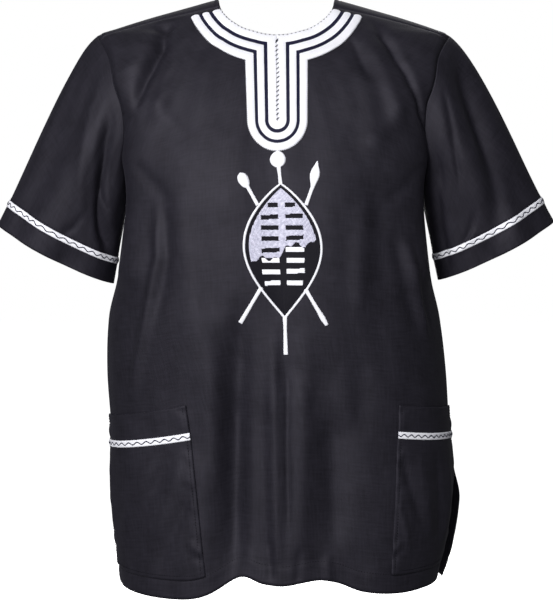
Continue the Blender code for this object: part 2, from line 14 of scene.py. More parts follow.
import bmesh
import bpy
import numpy as np
from mathutils import Matrix, Vector
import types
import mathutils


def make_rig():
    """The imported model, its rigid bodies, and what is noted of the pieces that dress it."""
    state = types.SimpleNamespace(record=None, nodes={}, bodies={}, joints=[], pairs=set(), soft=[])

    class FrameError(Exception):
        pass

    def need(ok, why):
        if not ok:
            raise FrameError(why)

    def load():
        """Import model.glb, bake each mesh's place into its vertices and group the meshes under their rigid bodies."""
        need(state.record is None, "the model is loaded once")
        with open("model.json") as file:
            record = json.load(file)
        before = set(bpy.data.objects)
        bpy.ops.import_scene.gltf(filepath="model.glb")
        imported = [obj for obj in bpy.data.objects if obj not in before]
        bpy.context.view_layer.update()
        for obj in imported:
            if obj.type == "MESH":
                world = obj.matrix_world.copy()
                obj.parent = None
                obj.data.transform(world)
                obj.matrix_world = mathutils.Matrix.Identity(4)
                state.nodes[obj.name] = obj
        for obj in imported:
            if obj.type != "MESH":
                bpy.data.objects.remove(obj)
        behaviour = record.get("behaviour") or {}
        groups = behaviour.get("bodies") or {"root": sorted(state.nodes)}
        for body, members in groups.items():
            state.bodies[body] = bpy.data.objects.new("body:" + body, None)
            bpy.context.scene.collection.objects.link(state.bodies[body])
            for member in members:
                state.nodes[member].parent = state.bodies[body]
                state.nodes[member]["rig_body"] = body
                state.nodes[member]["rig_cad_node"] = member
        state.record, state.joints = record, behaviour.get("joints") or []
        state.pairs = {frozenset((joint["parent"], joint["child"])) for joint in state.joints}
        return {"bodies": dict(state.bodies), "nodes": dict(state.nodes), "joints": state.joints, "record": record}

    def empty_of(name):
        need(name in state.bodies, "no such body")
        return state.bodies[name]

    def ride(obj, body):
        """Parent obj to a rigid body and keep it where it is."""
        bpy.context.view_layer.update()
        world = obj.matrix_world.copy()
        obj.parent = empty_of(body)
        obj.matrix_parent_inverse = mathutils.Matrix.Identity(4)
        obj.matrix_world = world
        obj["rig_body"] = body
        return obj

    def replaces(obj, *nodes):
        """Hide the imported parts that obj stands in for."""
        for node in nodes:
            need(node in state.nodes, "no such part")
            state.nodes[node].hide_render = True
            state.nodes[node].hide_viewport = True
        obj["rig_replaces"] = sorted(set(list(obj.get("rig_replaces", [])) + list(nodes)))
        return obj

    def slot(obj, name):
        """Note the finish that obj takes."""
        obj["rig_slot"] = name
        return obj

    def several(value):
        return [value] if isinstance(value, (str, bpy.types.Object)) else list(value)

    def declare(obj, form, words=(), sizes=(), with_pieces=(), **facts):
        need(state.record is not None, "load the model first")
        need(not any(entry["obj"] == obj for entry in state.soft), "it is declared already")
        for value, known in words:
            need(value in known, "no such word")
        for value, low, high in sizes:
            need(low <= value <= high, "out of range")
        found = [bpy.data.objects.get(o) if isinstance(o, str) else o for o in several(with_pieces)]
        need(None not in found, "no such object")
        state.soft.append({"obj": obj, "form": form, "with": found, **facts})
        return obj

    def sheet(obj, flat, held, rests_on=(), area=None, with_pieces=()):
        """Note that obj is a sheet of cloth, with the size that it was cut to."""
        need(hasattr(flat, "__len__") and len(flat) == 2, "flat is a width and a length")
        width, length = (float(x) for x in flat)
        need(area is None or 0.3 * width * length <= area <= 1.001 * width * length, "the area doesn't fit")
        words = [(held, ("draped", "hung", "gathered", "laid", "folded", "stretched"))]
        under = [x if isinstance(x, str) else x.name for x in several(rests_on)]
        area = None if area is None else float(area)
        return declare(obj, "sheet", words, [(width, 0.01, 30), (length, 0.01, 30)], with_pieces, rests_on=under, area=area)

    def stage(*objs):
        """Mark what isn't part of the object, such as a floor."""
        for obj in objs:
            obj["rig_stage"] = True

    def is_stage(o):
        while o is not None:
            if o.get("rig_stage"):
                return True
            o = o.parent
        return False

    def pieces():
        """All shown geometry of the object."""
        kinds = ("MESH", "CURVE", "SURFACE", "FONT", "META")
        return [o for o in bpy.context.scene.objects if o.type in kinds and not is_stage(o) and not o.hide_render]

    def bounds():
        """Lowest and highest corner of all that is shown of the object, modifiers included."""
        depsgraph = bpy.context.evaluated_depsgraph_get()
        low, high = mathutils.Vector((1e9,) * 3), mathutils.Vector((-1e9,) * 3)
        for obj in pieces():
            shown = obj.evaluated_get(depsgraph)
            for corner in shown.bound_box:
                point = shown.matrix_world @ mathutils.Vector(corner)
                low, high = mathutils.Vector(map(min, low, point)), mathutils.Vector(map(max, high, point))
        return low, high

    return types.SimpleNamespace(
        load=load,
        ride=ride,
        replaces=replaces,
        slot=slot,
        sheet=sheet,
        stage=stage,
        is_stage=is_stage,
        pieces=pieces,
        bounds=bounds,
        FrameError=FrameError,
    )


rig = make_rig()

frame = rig.load()
CAD_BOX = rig.bounds()

MM = 0.001
LEFT, RIGHT = -1, 1
log = logging.getLogger("shirt")

Numbers = np.ndarray
Placer = Callable[[Numbers, Numbers], Numbers]


def smooth_step(value: Numbers) -> Numbers:
    """Ease from 0 to 1."""
    t = np.clip(value, 0.0, 1.0)
    return t * t * (3 - 2 * t)


def bell(distance: Numbers, width: float) -> Numbers:
    """Soft hump that is 1 at distance 0."""
    return np.exp(-(distance / width) ** 2)


# Factors that scatter a cell's corner and its seed into an even spread of values
SCATTER_ACROSS, SCATTER_ALONG, SCATTER_SEED, SCATTER_ALL = 127.1, 311.7, 74.7, 43758.5453


def soft_noise(x: Numbers, y: Numbers, seed: int) -> Numbers:
    """Smooth noise between -1 and 1 over cells of size 1.

    Args:
        x: Place across the cells.
        y: Place along the cells.
        seed: Picks one of many patterns.

    Returns:
        One value for each place.
    """
    def corner(i: Numbers, j: Numbers) -> Numbers:
        """Value at a corner of a cell."""
        value = np.sin(i * SCATTER_ACROSS + j * SCATTER_ALONG + seed * SCATTER_SEED) * SCATTER_ALL
        return 2 * (value - np.floor(value)) - 1

    i, j = np.floor(x), np.floor(y)
    across, along = smooth_step(x - i), smooth_step(y - j)
    near = corner(i, j) * (1 - across) + corner(i + 1, j) * across
    far = corner(i, j + 1) * (1 - across) + corner(i + 1, j + 1) * across
    return near * (1 - along) + far * along


class Curve:
    """A smooth line through rows of a key and a value, level past its ends."""

    def __init__(self, keys: list[float], values: list[float]) -> None:
        """Keep the rows in rising order with the slope at each."""
        order = np.argsort(keys)
        self.keys = np.asarray(keys, float)[order]
        self.values = np.asarray(values, float)[order]
        rows = np.arange(len(keys))
        before, after = np.maximum(rows - 1, 0), np.minimum(rows + 1, len(keys) - 1)
        rise = self.values[after] - self.values[before]
        self.slopes = rise / (self.keys[after] - self.keys[before])

    def at(self, key: Numbers) -> Numbers:
        """Value of the line at each key."""
        held = np.clip(key, self.keys[0], self.keys[-1])
        first = np.clip(np.searchsorted(self.keys, held, side="right") - 1, 0, len(self.keys) - 2)
        span = self.keys[first + 1] - self.keys[first]
        t = (held - self.keys[first]) / span
        return (self.values[first] * (2 * t ** 3 - 3 * t ** 2 + 1)
                + self.slopes[first] * span * (t ** 3 - 2 * t ** 2 + t)
                + self.values[first + 1] * (3 * t ** 2 - 2 * t ** 3)
                + self.slopes[first + 1] * span * (t ** 3 - t ** 2))


@dataclass(frozen=True)
class Section:
    """Level section of the trunk."""

    z: float
    half_width: float
    front_depth: float
    back_depth: float
    squareness: float
    lean: float


SECTIONS = (
    Section(0, 77, 30, 30, 2.0, 0),
    Section(-12, 119, 39, 40, 2.0, 0),
    Section(-25, 164, 48, 50, 2.1, -1),
    Section(-38, 204, 57, 58, 2.2, -2),
    Section(-48, 230, 64, 65, 2.3, -4),
    Section(-75, 239, 82, 80, 2.6, -4),
    Section(-110, 234, 101, 96, 2.9, -3),
    Section(-150, 213, 118, 110, 3.0, -2),
    Section(-200, 195, 133, 120, 3.2, -2),
    Section(-236, 187, 140, 124, 3.2, -2),
    Section(-270, 187, 144, 125, 3.1, -2),
    Section(-320, 195, 146, 124, 2.9, -3),
    Section(-365, 204, 146, 123, 2.7, -3),
    Section(-410, 215, 145, 123, 2.5, -3),
    Section(-480, 221, 143, 125, 2.4, 0),
    Section(-560, 221, 141, 128, 2.4, 5),
    Section(-650, 223, 140, 131, 2.4, 9),
    Section(-760, 209, 138, 131, 2.4, 5),
)
# Height and sideways shift of centre front, because the shirt is turned a little as it is worn
CENTRE_WANDER = ((0, 0), (-200, 0.5), (-400, 8), (-515, 20), (-720, 27), (-760, 28))

NECK_HALF = 75
FRONT_NECK_DROP = 50
BACK_NECK_DROP = 42
NECK_CORNER = 76
SHOULDER_SEAM = 29
SLIT_END = -160
SLIT_HALF = 0.5

ARMHOLE_HALF_DEPTH = 75
ARMHOLE_HALF_HEIGHT = 95
ARMHOLE_MIDDLE = -141
ARMHOLE_CENTRE = 209
ARMHOLE_SQUARENESS = (1.8, 2.3)
ARMHOLE_STOPS = 32
SEAM_STOPS = 2

HEM = -756
HEM_RISE = 15
RISE_FROM = -240
RISE_OVER = 260
VENT_TOP = -588
WAVE_FROM = -560
# Angle and lift of the front's uneven hem
FRONT_HEM = ((-90, 2), (-62, -10), (-44, -14), (-34, -9), (-18, 11), (-7, 2), (4, 0), (21, 8), (30, 5),
             (40, -4), (56, -5), (74, 3), (90, 12))

# How much closer together columns lie at the sides, and where rows turn from straight in plan to level
SIDE_CROWDING = 0.3
LEVEL_FROM = -55
LEVEL_OVER = 90
LOWER_ROWS = 17
NECK_ROWS = 7
BACK_NECK_ROWS = 9
SLIT_ROWS = 4
FRONT_UPPER_ROWS = ARMHOLE_STOPS // 2 - SEAM_STOPS
BACK_UPPER_ROWS = ARMHOLE_STOPS // 2 + SEAM_STOPS

# Radius that turns polar angles into distances round the trunk
FOLD_RADIUS = 170
CLOTH_WALL = 1.1
# How far sewn edges are drawn in, and how far points lie apart that are joined
EDGE_PINCH = 1.0
JOIN_REACH = 0.02
# Half width of a seam's groove, and how far stitches stand out of the cloth
SEAM_WIDTH = 2.6
THREAD_PROUD = 0.2

# Steps in degrees and millimetres between the points that give a direction out of the trunk
NORMAL_TURN = 0.5
NORMAL_DROP = 1
# Heights between which the shoulders' surface is looked for, and how often that span is halved
SEARCH_TOP = -0.5
SEARCH_FLOOR = -110.0
SEARCH_HALVINGS = 16
# Nearest that an armhole's stop comes to the shoulders' ridge
RIDGE_MARGIN = 0.01
# Degrees from the side seam and distance from the shoulder seam in which creases fade out
SIDE_FADE = 9
SHOULDER_FADE = 16
# Share of a crease's line in which it rises, and how far it has risen at the line's ends
CREASE_TAPER = 0.3
CREASE_END = 0.12
# How strongly a lap leans a crease, and how many half widths out it grows
LAP_PULL = 2
LAP_REACH = 2


def stack(x: Numbers, y: Numbers, z: Numbers) -> Numbers:
    """Join three arrays of coordinates into points."""
    return np.stack(np.broadcast_arrays(x, y, z), axis=-1).astype(float)


def unit(vectors: Numbers) -> Numbers:
    """Scale vectors to length 1."""
    return vectors / np.maximum(np.linalg.norm(vectors, axis=-1, keepdims=True), 1e-9)


class Trunk:
    """Smooth hollow form that the front and the back follow."""

    def __init__(self) -> None:
        """Read the tables as smooth curves."""
        heights = [row.z for row in SECTIONS]
        self.width = Curve(heights, [row.half_width for row in SECTIONS])
        self.front_depth = Curve(heights, [row.front_depth for row in SECTIONS])
        self.back_depth = Curve(heights, [row.back_depth for row in SECTIONS])
        self.squareness = Curve(heights, [row.squareness for row in SECTIONS])
        self.lean = Curve(heights, [row.lean for row in SECTIONS])
        self.wander = Curve([row[0] for row in CENTRE_WANDER], [row[1] for row in CENTRE_WANDER])
        self.hem_wave = Curve([row[0] for row in FRONT_HEM], [row[1] for row in FRONT_HEM])

    def size(self, z: Numbers, front: Numbers) -> tuple[Numbers, Numbers, Numbers]:
        """Half width, depth and squareness at a height."""
        depth = np.where(front, self.front_depth.at(z), self.back_depth.at(z))
        return self.width.at(z), depth, self.squareness.at(z)

    def point(self, angle: Numbers, z: Numbers) -> Numbers:
        """Points of the unfolded trunk.

        Args:
            angle: Polar angles in degrees.
            z: Heights.

        Returns:
            Points in millimetres.
        """
        turn = np.radians(angle)
        side, ahead = np.sin(turn), np.cos(turn)
        width, depth, power = self.size(z, ahead >= 0)
        radius = ((abs(side) / width) ** power + (abs(ahead) / depth) ** power) ** (-1 / power)
        return stack(radius * side + self.lean.at(z) * side ** 2, -radius * ahead, z)

    def normal(self, angle: Numbers, z: Numbers) -> Numbers:
        """Directions that point out of the trunk."""
        around = self.point(angle + NORMAL_TURN, z) - self.point(angle - NORMAL_TURN, z)
        above = np.minimum(z + NORMAL_DROP, 0)
        down = self.point(angle, z - NORMAL_DROP) - self.point(angle, above)
        return unit(np.cross(down, around))

    def angle_at_x(self, x: Numbers, z: Numbers, front: bool = True) -> Numbers:
        """Polar angle of the point that lies at a sideways distance."""
        width, depth, power = self.size(z, front)
        ahead = depth * (1 - np.minimum(abs(x) / width, 1.0) ** power) ** (1 / power)
        return np.degrees(np.arctan2(x, ahead if front else -ahead))

    def angle_at_y(self, y: Numbers, z: Numbers) -> Numbers:
        """Polar angle, on the +X side, of the point that lies at a forward distance."""
        width, depth, power = self.size(z, y < 0)
        across = width * (1 - np.minimum(abs(y) / depth, 1.0) ** power) ** (1 / power)
        return np.degrees(np.arctan2(across, -y))

    def place_angle(self, x: Numbers, z: Numbers) -> Numbers:
        """Polar angle of the front's point at a sideways place, with the sides' lean taken out."""
        side = np.sin(np.radians(self.angle_at_x(x, z)))
        return self.angle_at_x(x - self.lean.at(z) * side ** 2, z)

    def rise(self, angle: Numbers, z: Numbers) -> Numbers:
        """How much the front's level lines climb towards the middle and wave at the hem."""
        ahead = np.maximum(np.cos(np.radians(angle)), 0)
        climb = HEM_RISE * ahead ** 2 * smooth_step((RISE_FROM - z) / RISE_OVER)
        return climb + self.hem_wave.at(angle) * smooth_step((WAVE_FROM - z) / (WAVE_FROM - HEM))

    def placed(self, angle: Numbers, z: Numbers) -> tuple[Numbers, Numbers]:
        """Turn a level place on the front into its place as worn."""
        turned = angle + self.place_angle(self.wander.at(z), z) * (1 - abs(angle) / 90)
        return turned, z + self.rise(turned, z)

    def height_over(self, x: Numbers, y: Numbers) -> Numbers:
        """Height of the shoulders' surface above places of the plan."""
        outside, inside = np.full(np.shape(x), SEARCH_TOP), np.full(np.shape(x), SEARCH_FLOOR)
        for _ in range(SEARCH_HALVINGS):
            middle = (outside + inside) / 2
            width, depth, power = self.size(middle, y < 0)
            beyond = (abs(x) / width) ** power + (abs(y) / depth) ** power > 1
            outside = np.where(beyond, middle, outside)
            inside = np.where(beyond, inside, middle)
        return outside

    def neck_stop(self, turn: Numbers) -> tuple[Numbers, Numbers]:
        """Angle and height of the neckline: turn 0 is centre front, 90 the neck point."""
        ahead = turn < 90
        z = -np.where(ahead, FRONT_NECK_DROP, BACK_NECK_DROP) * abs(np.cos(np.radians(turn)))
        x = NECK_HALF * np.sin(np.radians(turn))
        return np.where(ahead, self.angle_at_x(x, z), self.angle_at_x(x, z, False)), z

    def armhole_stop(self, index: Numbers) -> tuple[Numbers, Numbers]:
        """Angle and height of an armhole stop: 0 is the top, positive runs down the back."""
        turn = 2 * np.pi * index / ARMHOLE_STOPS
        power = 2 / np.where(np.cos(turn) > 0, *ARMHOLE_SQUARENESS)
        y = ARMHOLE_HALF_DEPTH * np.sign(np.sin(turn)) * abs(np.sin(turn)) ** power
        rise = np.sign(np.cos(turn)) * abs(np.cos(turn)) ** power
        z = ARMHOLE_MIDDLE + ARMHOLE_HALF_HEIGHT * rise
        return self.angle_at_y(np.where(abs(y) > RIDGE_MARGIN, y, -RIDGE_MARGIN), z), z

    def between(self, inner: tuple, outer: tuple, column: Numbers) -> tuple[Numbers, Numbers]:
        """Angles and heights along rows of the cloth from their inner to their outer edge.

        Args:
            inner: Angle and height of each row's inner end.
            outer: Angle and height of each row's outer end.
            column: Share of the way, from 0 to 1.

        Returns:
            Angles and heights. Rows over the shoulders are straight in plan, lower ones level.
        """
        share = column + SIDE_CROWDING * np.sin(np.pi * column) / np.pi
        angle = inner[0] + (outer[0] - inner[0]) * share
        z = inner[1] + (outer[1] - inner[1]) * share
        level = smooth_step((LEVEL_FROM - outer[1]) / LEVEL_OVER)
        start, end = self.point(*inner), self.point(*outer)
        plan = start + (end - start) * share[..., None]
        over = self.height_over(plan[..., 0], plan[..., 1])
        top = self.point(np.degrees(np.arctan2(plan[..., 0], -plan[..., 1])), over)
        mixed = top + (self.point(angle, z) - top) * level[..., None]
        upper = (level < 1) & (share > 0) & (share < 1)
        turned = np.degrees(np.arctan2(mixed[..., 0], -mixed[..., 1]))
        return np.where(upper, turned, angle), np.where(upper, mixed[..., 2], z)


@dataclass(frozen=True)
class Fold:
    """Soft ridge, or trough where the height is below 0, along a line on the trunk."""

    angle_from: float
    z_from: float
    angle_to: float
    z_to: float
    width: float
    height: float

    def lift(self, angle: Numbers, z: Numbers) -> Numbers:
        """Height that the fold adds at places of the trunk."""
        turned = self.angle_from + (angle - self.angle_from + 180) % 360 - 180
        s = np.radians(turned - self.angle_from) * FOLD_RADIUS
        run = math.radians(self.angle_to - self.angle_from) * FOLD_RADIUS
        drop = self.z_to - self.z_from
        along = np.clip((s * run + (z - self.z_from) * drop) / (run ** 2 + drop ** 2), 0, 1)
        return self.height * bell(np.hypot(s - run * along, z - self.z_from - drop * along), self.width)


FRONT_FOLDS = (
    Fold(-66, -215, -65, -345, 28, 10),
    Fold(66, -215, 65, -345, 28, 10),
    Fold(-72, -62, -62, -135, 17, 4),
    Fold(72, -62, 62, -135, 17, 4),
    Fold(-52, -75, -47, -165, 22, -4),
    Fold(52, -75, 47, -165, 22, -3),
    Fold(-22, -530, -24, -760, 24, -7),
    Fold(-40, -420, -38, -520, 40, 3),
    Fold(4, -520, 8, -760, 30, 5),
    Fold(32, -560, 33, -760, 24, -4),
    Fold(46, -470, 50, -760, 40, 3),
    Fold(16, -260, 22, -420, 42, 4),
    Fold(-20, -230, -26, -400, 45, 3),
    Fold(90, VENT_TOP - 62, 90, HEM, 32, -6),
    Fold(-90, VENT_TOP - 62, -90, HEM, 32, 1),
)
BACK_FOLDS = (
    Fold(116, -215, 112, -345, 28, 8),
    Fold(-116, -215, -112, -345, 28, 8),
    Fold(150, -210, 158, -420, 30, -5),
    Fold(-146, -190, -156, -470, 32, -5),
    Fold(168, -330, 164, -760, 30, 6),
    Fold(-176, -480, -170, -760, 28, -5),
    Fold(-150, -430, -146, -760, 34, 6),
    Fold(138, -470, 134, -760, 30, -5),
    Fold(90, VENT_TOP - 67, 90, -720, 34, 9),
    Fold(-90, VENT_TOP - 67, -90, -720, 34, 0),
)


@dataclass(frozen=True)
class Crease:
    """Fine fold along a bent line, tapered at both ends.

    The line's places are (across, up), in whatever flat measure the piece uses. A lap above or below 0
    leans the fold to the right or the left of the line, walked from its first place.
    """

    line: tuple[tuple[float, float], ...]
    width: float
    height: float
    lap: float = 0.0

    def lift(self, across: Numbers, up: Numbers, line: Numbers) -> Numbers:
        """Height that the crease adds.

        Args:
            across: Places across the piece, in millimetres of cloth.
            up: Places along the piece.
            line: The crease's line in the same measure.

        Returns:
            Heights in millimetres.
        """
        steps = np.linalg.norm(np.diff(line, axis=0), axis=1)
        reached = np.concatenate(([0.0], np.cumsum(steps))) / steps.sum()
        nearest = np.full(np.shape(across), np.inf)
        side, share = np.zeros_like(nearest), np.zeros_like(nearest)
        for start, end, first, last in zip(line, line[1:], reached, reached[1:]):
            run = end - start
            away = across - start[0], up - start[1]
            along = np.clip((away[0] * run[0] + away[1] * run[1]) / (run @ run), 0, 1)
            gap = np.hypot(away[0] - run[0] * along, away[1] - run[1] * along)
            closer = gap < nearest
            nearest = np.where(closer, gap, nearest)
            turned = np.sign(away[0] * run[1] - away[1] * run[0])
            side = np.where(closer, turned, side)
            share = np.where(closer, first + (last - first) * along, share)
        taper = smooth_step(np.minimum(share, 1 - share) / CREASE_TAPER + CREASE_END)
        leaned = 1 + self.lap * LAP_PULL * side * np.minimum(nearest / self.width, LAP_REACH)
        return self.height * taper * bell(nearest, self.width) * leaned


# Creases of the front as seen from the front, by sideways distance and height
FRONT_CREASES = (
    # Drag folds from the shoulder down in front of each armhole
    Crease(((-134, -20), (-138, -42), (-143, -66), (-157, -94), (-169, -122), (-175, -150)),
           4.8, -8.0, 0.3),
    Crease(((-136, -44), (-142, -70), (-158, -110), (-172, -150)), 14, -4.5, 0.2),
    Crease(((-119, -46), (-124, -80), (-142, -124), (-158, -170)), 9, 3.6, -0.3),
    Crease(((-110, -52), (-120, -82), (-136, -122)), 4.6, -2.6, 0.3),
    Crease(((-160, -52), (-168, -78), (-186, -104)), 8, 3.0),
    Crease(((118, -28), (134, -54), (150, -82), (168, -116), (180, -147), (188, -184)), 4.6, -6.5, -0.3),
    Crease(((140, -40), (153, -62), (171, -94), (187, -130), (197, -176)), 12, -4.0, -0.2),
    Crease(((116, -46), (130, -80), (146, -120), (158, -176)), 10, 4.2, 0.3),
    Crease(((92, -52), (104, -80), (114, -110)), 4.4, -2.0, -0.3),
    Crease(((96, -80), (110, -130), (116, -210)), 15, 4.0, -0.3),
    Crease(((-86, -62), (-88, -110), (-96, -168)), 13, 1.8),
    Crease(((84, -64), (88, -120), (92, -170)), 13, 1.6),
    # Long light ridges down the sides
    Crease(((-150, -255), (-149, -330), (-168, -420), (-188, -520)), 7, 4.6, -0.5),
    Crease(((-136, -240), (-134, -330), (-150, -420)), 10, -3.0, 0.2),
    Crease(((158, -300), (172, -360), (196, -440)), 7, 4.4, 0.5),
    Crease(((144, -290), (158, -360), (180, -440)), 10, -3.0, -0.2),
    Crease(((-104, -190), (-104, -300), (-98, -430), (-104, -520)), 24, 3.6),
    Crease(((120, -210), (126, -300), (134, -400)), 20, -3.4),
    # Skirt
    Crease(((-34, -375), (-44, -440), (-47, -520), (-49, -640), (-46, -742)), 20, -12.5, 0.2),
    Crease(((-20, -470), (-16, -560), (-14, -660), (-18, -742)), 17, -4.0),
    Crease(((0, -400), (-2, -520), (0, -640), (4, -742)), 11, 5.0, 0.3),
    Crease(((13, -450), (12, -560), (14, -690)), 5, -2.6, -0.3),
    Crease(((-84, -430), (-80, -540), (-78, -640)), 17, 4.0, -0.2),
    Crease(((34, -410), (38, -520), (34, -640), (30, -742)), 17, 5.0, 0.2),
    Crease(((70, -500), (74, -600), (72, -700)), 18, -5.5),
    Crease(((82, -470), (86, -600), (88, -742)), 20, 3.4, -0.3),
    Crease(((112, -440), (104, -520), (100, -560)), 16, -3.0),
    Crease(((-104, -560), (-94, -650), (-90, -742)), 14, 3.0),
    Crease(((-8, -676), (-4, -742)), 7, -2.8, 0.3),
    Crease(((30, -690), (27, -742)), 7, -2.4, 0.3),
    Crease(((64, -700), (66, -742)), 6, 2.0),
    # Chest and waist
    Crease(((-58, -150), (-66, -230), (-60, -300)), 26, 2.2),
    Crease(((66, -160), (74, -240), (72, -320)), 26, 2.2),
    Crease(((-98, -250), (-84, -340), (-76, -430)), 14, -2.4, 0.3),
    Crease(((108, -240), (102, -330), (98, -420)), 14, 3.0, -0.3),
    Crease(((20, -452), (44, -500), (48, -540)), 10, -1.6),
    Crease(((120, -400), (134, -450), (138, -500)), 12, -1.8),
    Crease(((-152, -120), (-140, -150), (-112, -180)), 10, 2.0, 0.3),
    Crease(((158, -128), (142, -160), (112, -192)), 10, 2.0, -0.3),
    Crease(((-176, -205), (-160, -232), (-130, -262)), 8, -2.0),
    Crease(((178, -210), (160, -240), (132, -266)), 8, -2.0),
)
# Creases of the back by sideways distance and height, seen from the front's side
BACK_CREASES = (
    Crease(((-168, -70), (-164, -120), (-150, -180)), 10, -3.4, 0.3),
    Crease(((166, -72), (160, -124), (146, -186)), 10, -3.2, -0.3),
    Crease(((-140, -80), (-134, -140), (-116, -210)), 14, 2.6),
    Crease(((138, -84), (130, -150), (114, -214)), 14, 2.4),
    Crease(((-92, -60), (-70, -74), (-20, -82), (30, -80), (84, -66)), 9, -1.6),
    Crease(((-168, -205), (-130, -240), (-84, -262)), 9, -2.4, 0.3),
    Crease(((168, -210), (128, -246), (80, -270)), 9, -2.4, -0.3),
    Crease(((-172, -236), (-140, -290), (-100, -330)), 12, 2.2),
    Crease(((172, -240), (140, -296), (104, -350)), 12, 2.4),
    Crease(((-60, -260), (-66, -360), (-58, -470)), 18, 2.4),
    Crease(((52, -280), (60, -390), (52, -500)), 18, -2.6),
    Crease(((-120, -380), (-126, -500), (-130, -640)), 14, -3.4, 0.3),
    Crease(((-90, -470), (-86, -600), (-90, -745)), 14, 3.0),
    Crease(((-40, -520), (-34, -640), (-30, -745)), 13, -3.4, -0.2),
    Crease(((0, -540), (6, -650), (4, -745)), 14, 2.8),
    Crease(((44, -560), (48, -660), (54, -745)), 12, -3.0, 0.2),
    Crease(((96, -430), (100, -560), (98, -745)), 16, 3.2),
    Crease(((136, -440), (144, -560), (146, -700)), 13, -3.0, -0.3),
    Crease(((172, -400), (184, -500), (190, -600)), 12, 2.2),
    Crease(((-176, -410), (-188, -500), (-190, -590)), 12, 2.2),
)


@dataclass(frozen=True)
class Crumple:
    """Smooth random waves of a panel, skewed so that they don't line up with its rows.

    Across and along are the waves' own sizes. The waves shift by one to the side in every skew down the
    cloth, and by one up or down in every cross to its side.
    """

    height: float
    across: float
    along: float
    skew: float
    cross: float = math.inf

    def lift(self, across: Numbers, z: Numbers, seed: int) -> Numbers:
        """Height that the waves add."""
        place = across / self.across + z / self.skew, z / self.along + across / self.cross
        return self.height * soft_noise(*place, seed)


PANEL_CRUMPLES = (
    Crumple(1.1, 36, 240, 400),
    Crumple(0.35, 15, 80, 150, 90),
    Crumple(0.07, 8, 17, 45),
)


class Panel:
    """Cloth that follows the trunk, with its folds and creases."""

    middle = 0.0
    folds: tuple[Fold, ...] = ()
    creases: tuple[Crease, ...] = ()
    noise_seed = 3

    def __init__(self, trunk: Trunk) -> None:
        """Turn the creases' lines into millimetres of cloth from the panel's middle."""
        self.trunk = trunk
        self.lines = [self.flat_line(crease) for crease in self.creases]

    def flat_line(self, crease: Crease) -> Numbers:
        """Line of a crease, by distance round the trunk and height."""
        x, z = np.array(crease.line, float).T
        angle = self.angle_of(x, z)
        return np.stack([self.across(angle), z], axis=1)

    def angle_of(self, x: Numbers, z: Numbers) -> Numbers:
        """Polar angle at a sideways distance."""
        return self.trunk.place_angle(x, z)

    def across(self, angle: Numbers) -> Numbers:
        """Distance round the trunk from the panel's middle."""
        return np.radians((angle - self.middle + 180) % 360 - 180) * FOLD_RADIUS

    def fade(self, angle: Numbers, z: Numbers) -> Numbers:
        """Share of the creases that is left near the panel's seams."""
        side = 90 - abs(self.across(angle)) / FOLD_RADIUS * 180 / math.pi
        ahead = -self.trunk.point(angle, z)[..., 1] * (1 if self.middle == 0 else -1)
        reach = ahead - SHOULDER_SEAM if self.middle == 0 else ahead + SHOULDER_SEAM
        return smooth_step(side / SIDE_FADE) * smooth_step(reach / SHOULDER_FADE)

    def relief(self, angle: Numbers, z: Numbers) -> Numbers:
        """Height of folds, creases and crumpling over the smooth trunk."""
        across = self.across(angle)
        main = sum(fold.lift(angle, z) for fold in self.folds)
        fine = sum(crease.lift(across, z, line) for crease, line in zip(self.creases, self.lines))
        for seed, crumple in enumerate(PANEL_CRUMPLES, self.noise_seed):
            fine += crumple.lift(across, z, seed)
        return main + fine * self.fade(angle, z)

    def surface(self, angle: Numbers, z: Numbers, lift: Numbers = 0.0) -> Numbers:
        """Points of the cloth, moved out by lift."""
        height = self.relief(angle, z) + lift
        return self.trunk.point(angle, z) + self.trunk.normal(angle, z) * height[..., None]


class FrontPanel(Panel):
    """Front, with the neckline, the key-hole slit and the front halves of the armholes."""

    folds = FRONT_FOLDS
    creases = FRONT_CREASES

    def stops(self, column: Numbers, row: Numbers) -> tuple[Numbers, Numbers]:
        """Level angle and height of places of the right half.

        Args:
            column: Share of the way from the middle to the side.
            row: Row down from the shoulder seam.

        Returns:
            Angles and heights before the cloth is turned on its wearer.
        """
        last = FRONT_UPPER_ROWS + LOWER_ROWS
        neck = self.trunk.neck_stop(NECK_CORNER * (1 - np.minimum(row / NECK_ROWS, 1)))
        down = np.interp(row, (NECK_ROWS, NECK_ROWS + SLIT_ROWS, FRONT_UPPER_ROWS, last),
                         (-FRONT_NECK_DROP, SLIT_END, RISE_FROM, HEM))
        inner = np.where(row < NECK_ROWS, neck[0], 0.0), np.where(row < NECK_ROWS, neck[1], down)
        arm = self.trunk.armhole_stop(-SEAM_STOPS - np.minimum(row, FRONT_UPPER_ROWS))
        side = np.interp(row, (FRONT_UPPER_ROWS, last), (ARMHOLE_MIDDLE - ARMHOLE_HALF_HEIGHT, HEM))
        upper = row < FRONT_UPPER_ROWS
        outer = np.where(upper, arm[0], 90.0), np.where(upper, arm[1], side)
        return self.trunk.between(inner, outer, column)


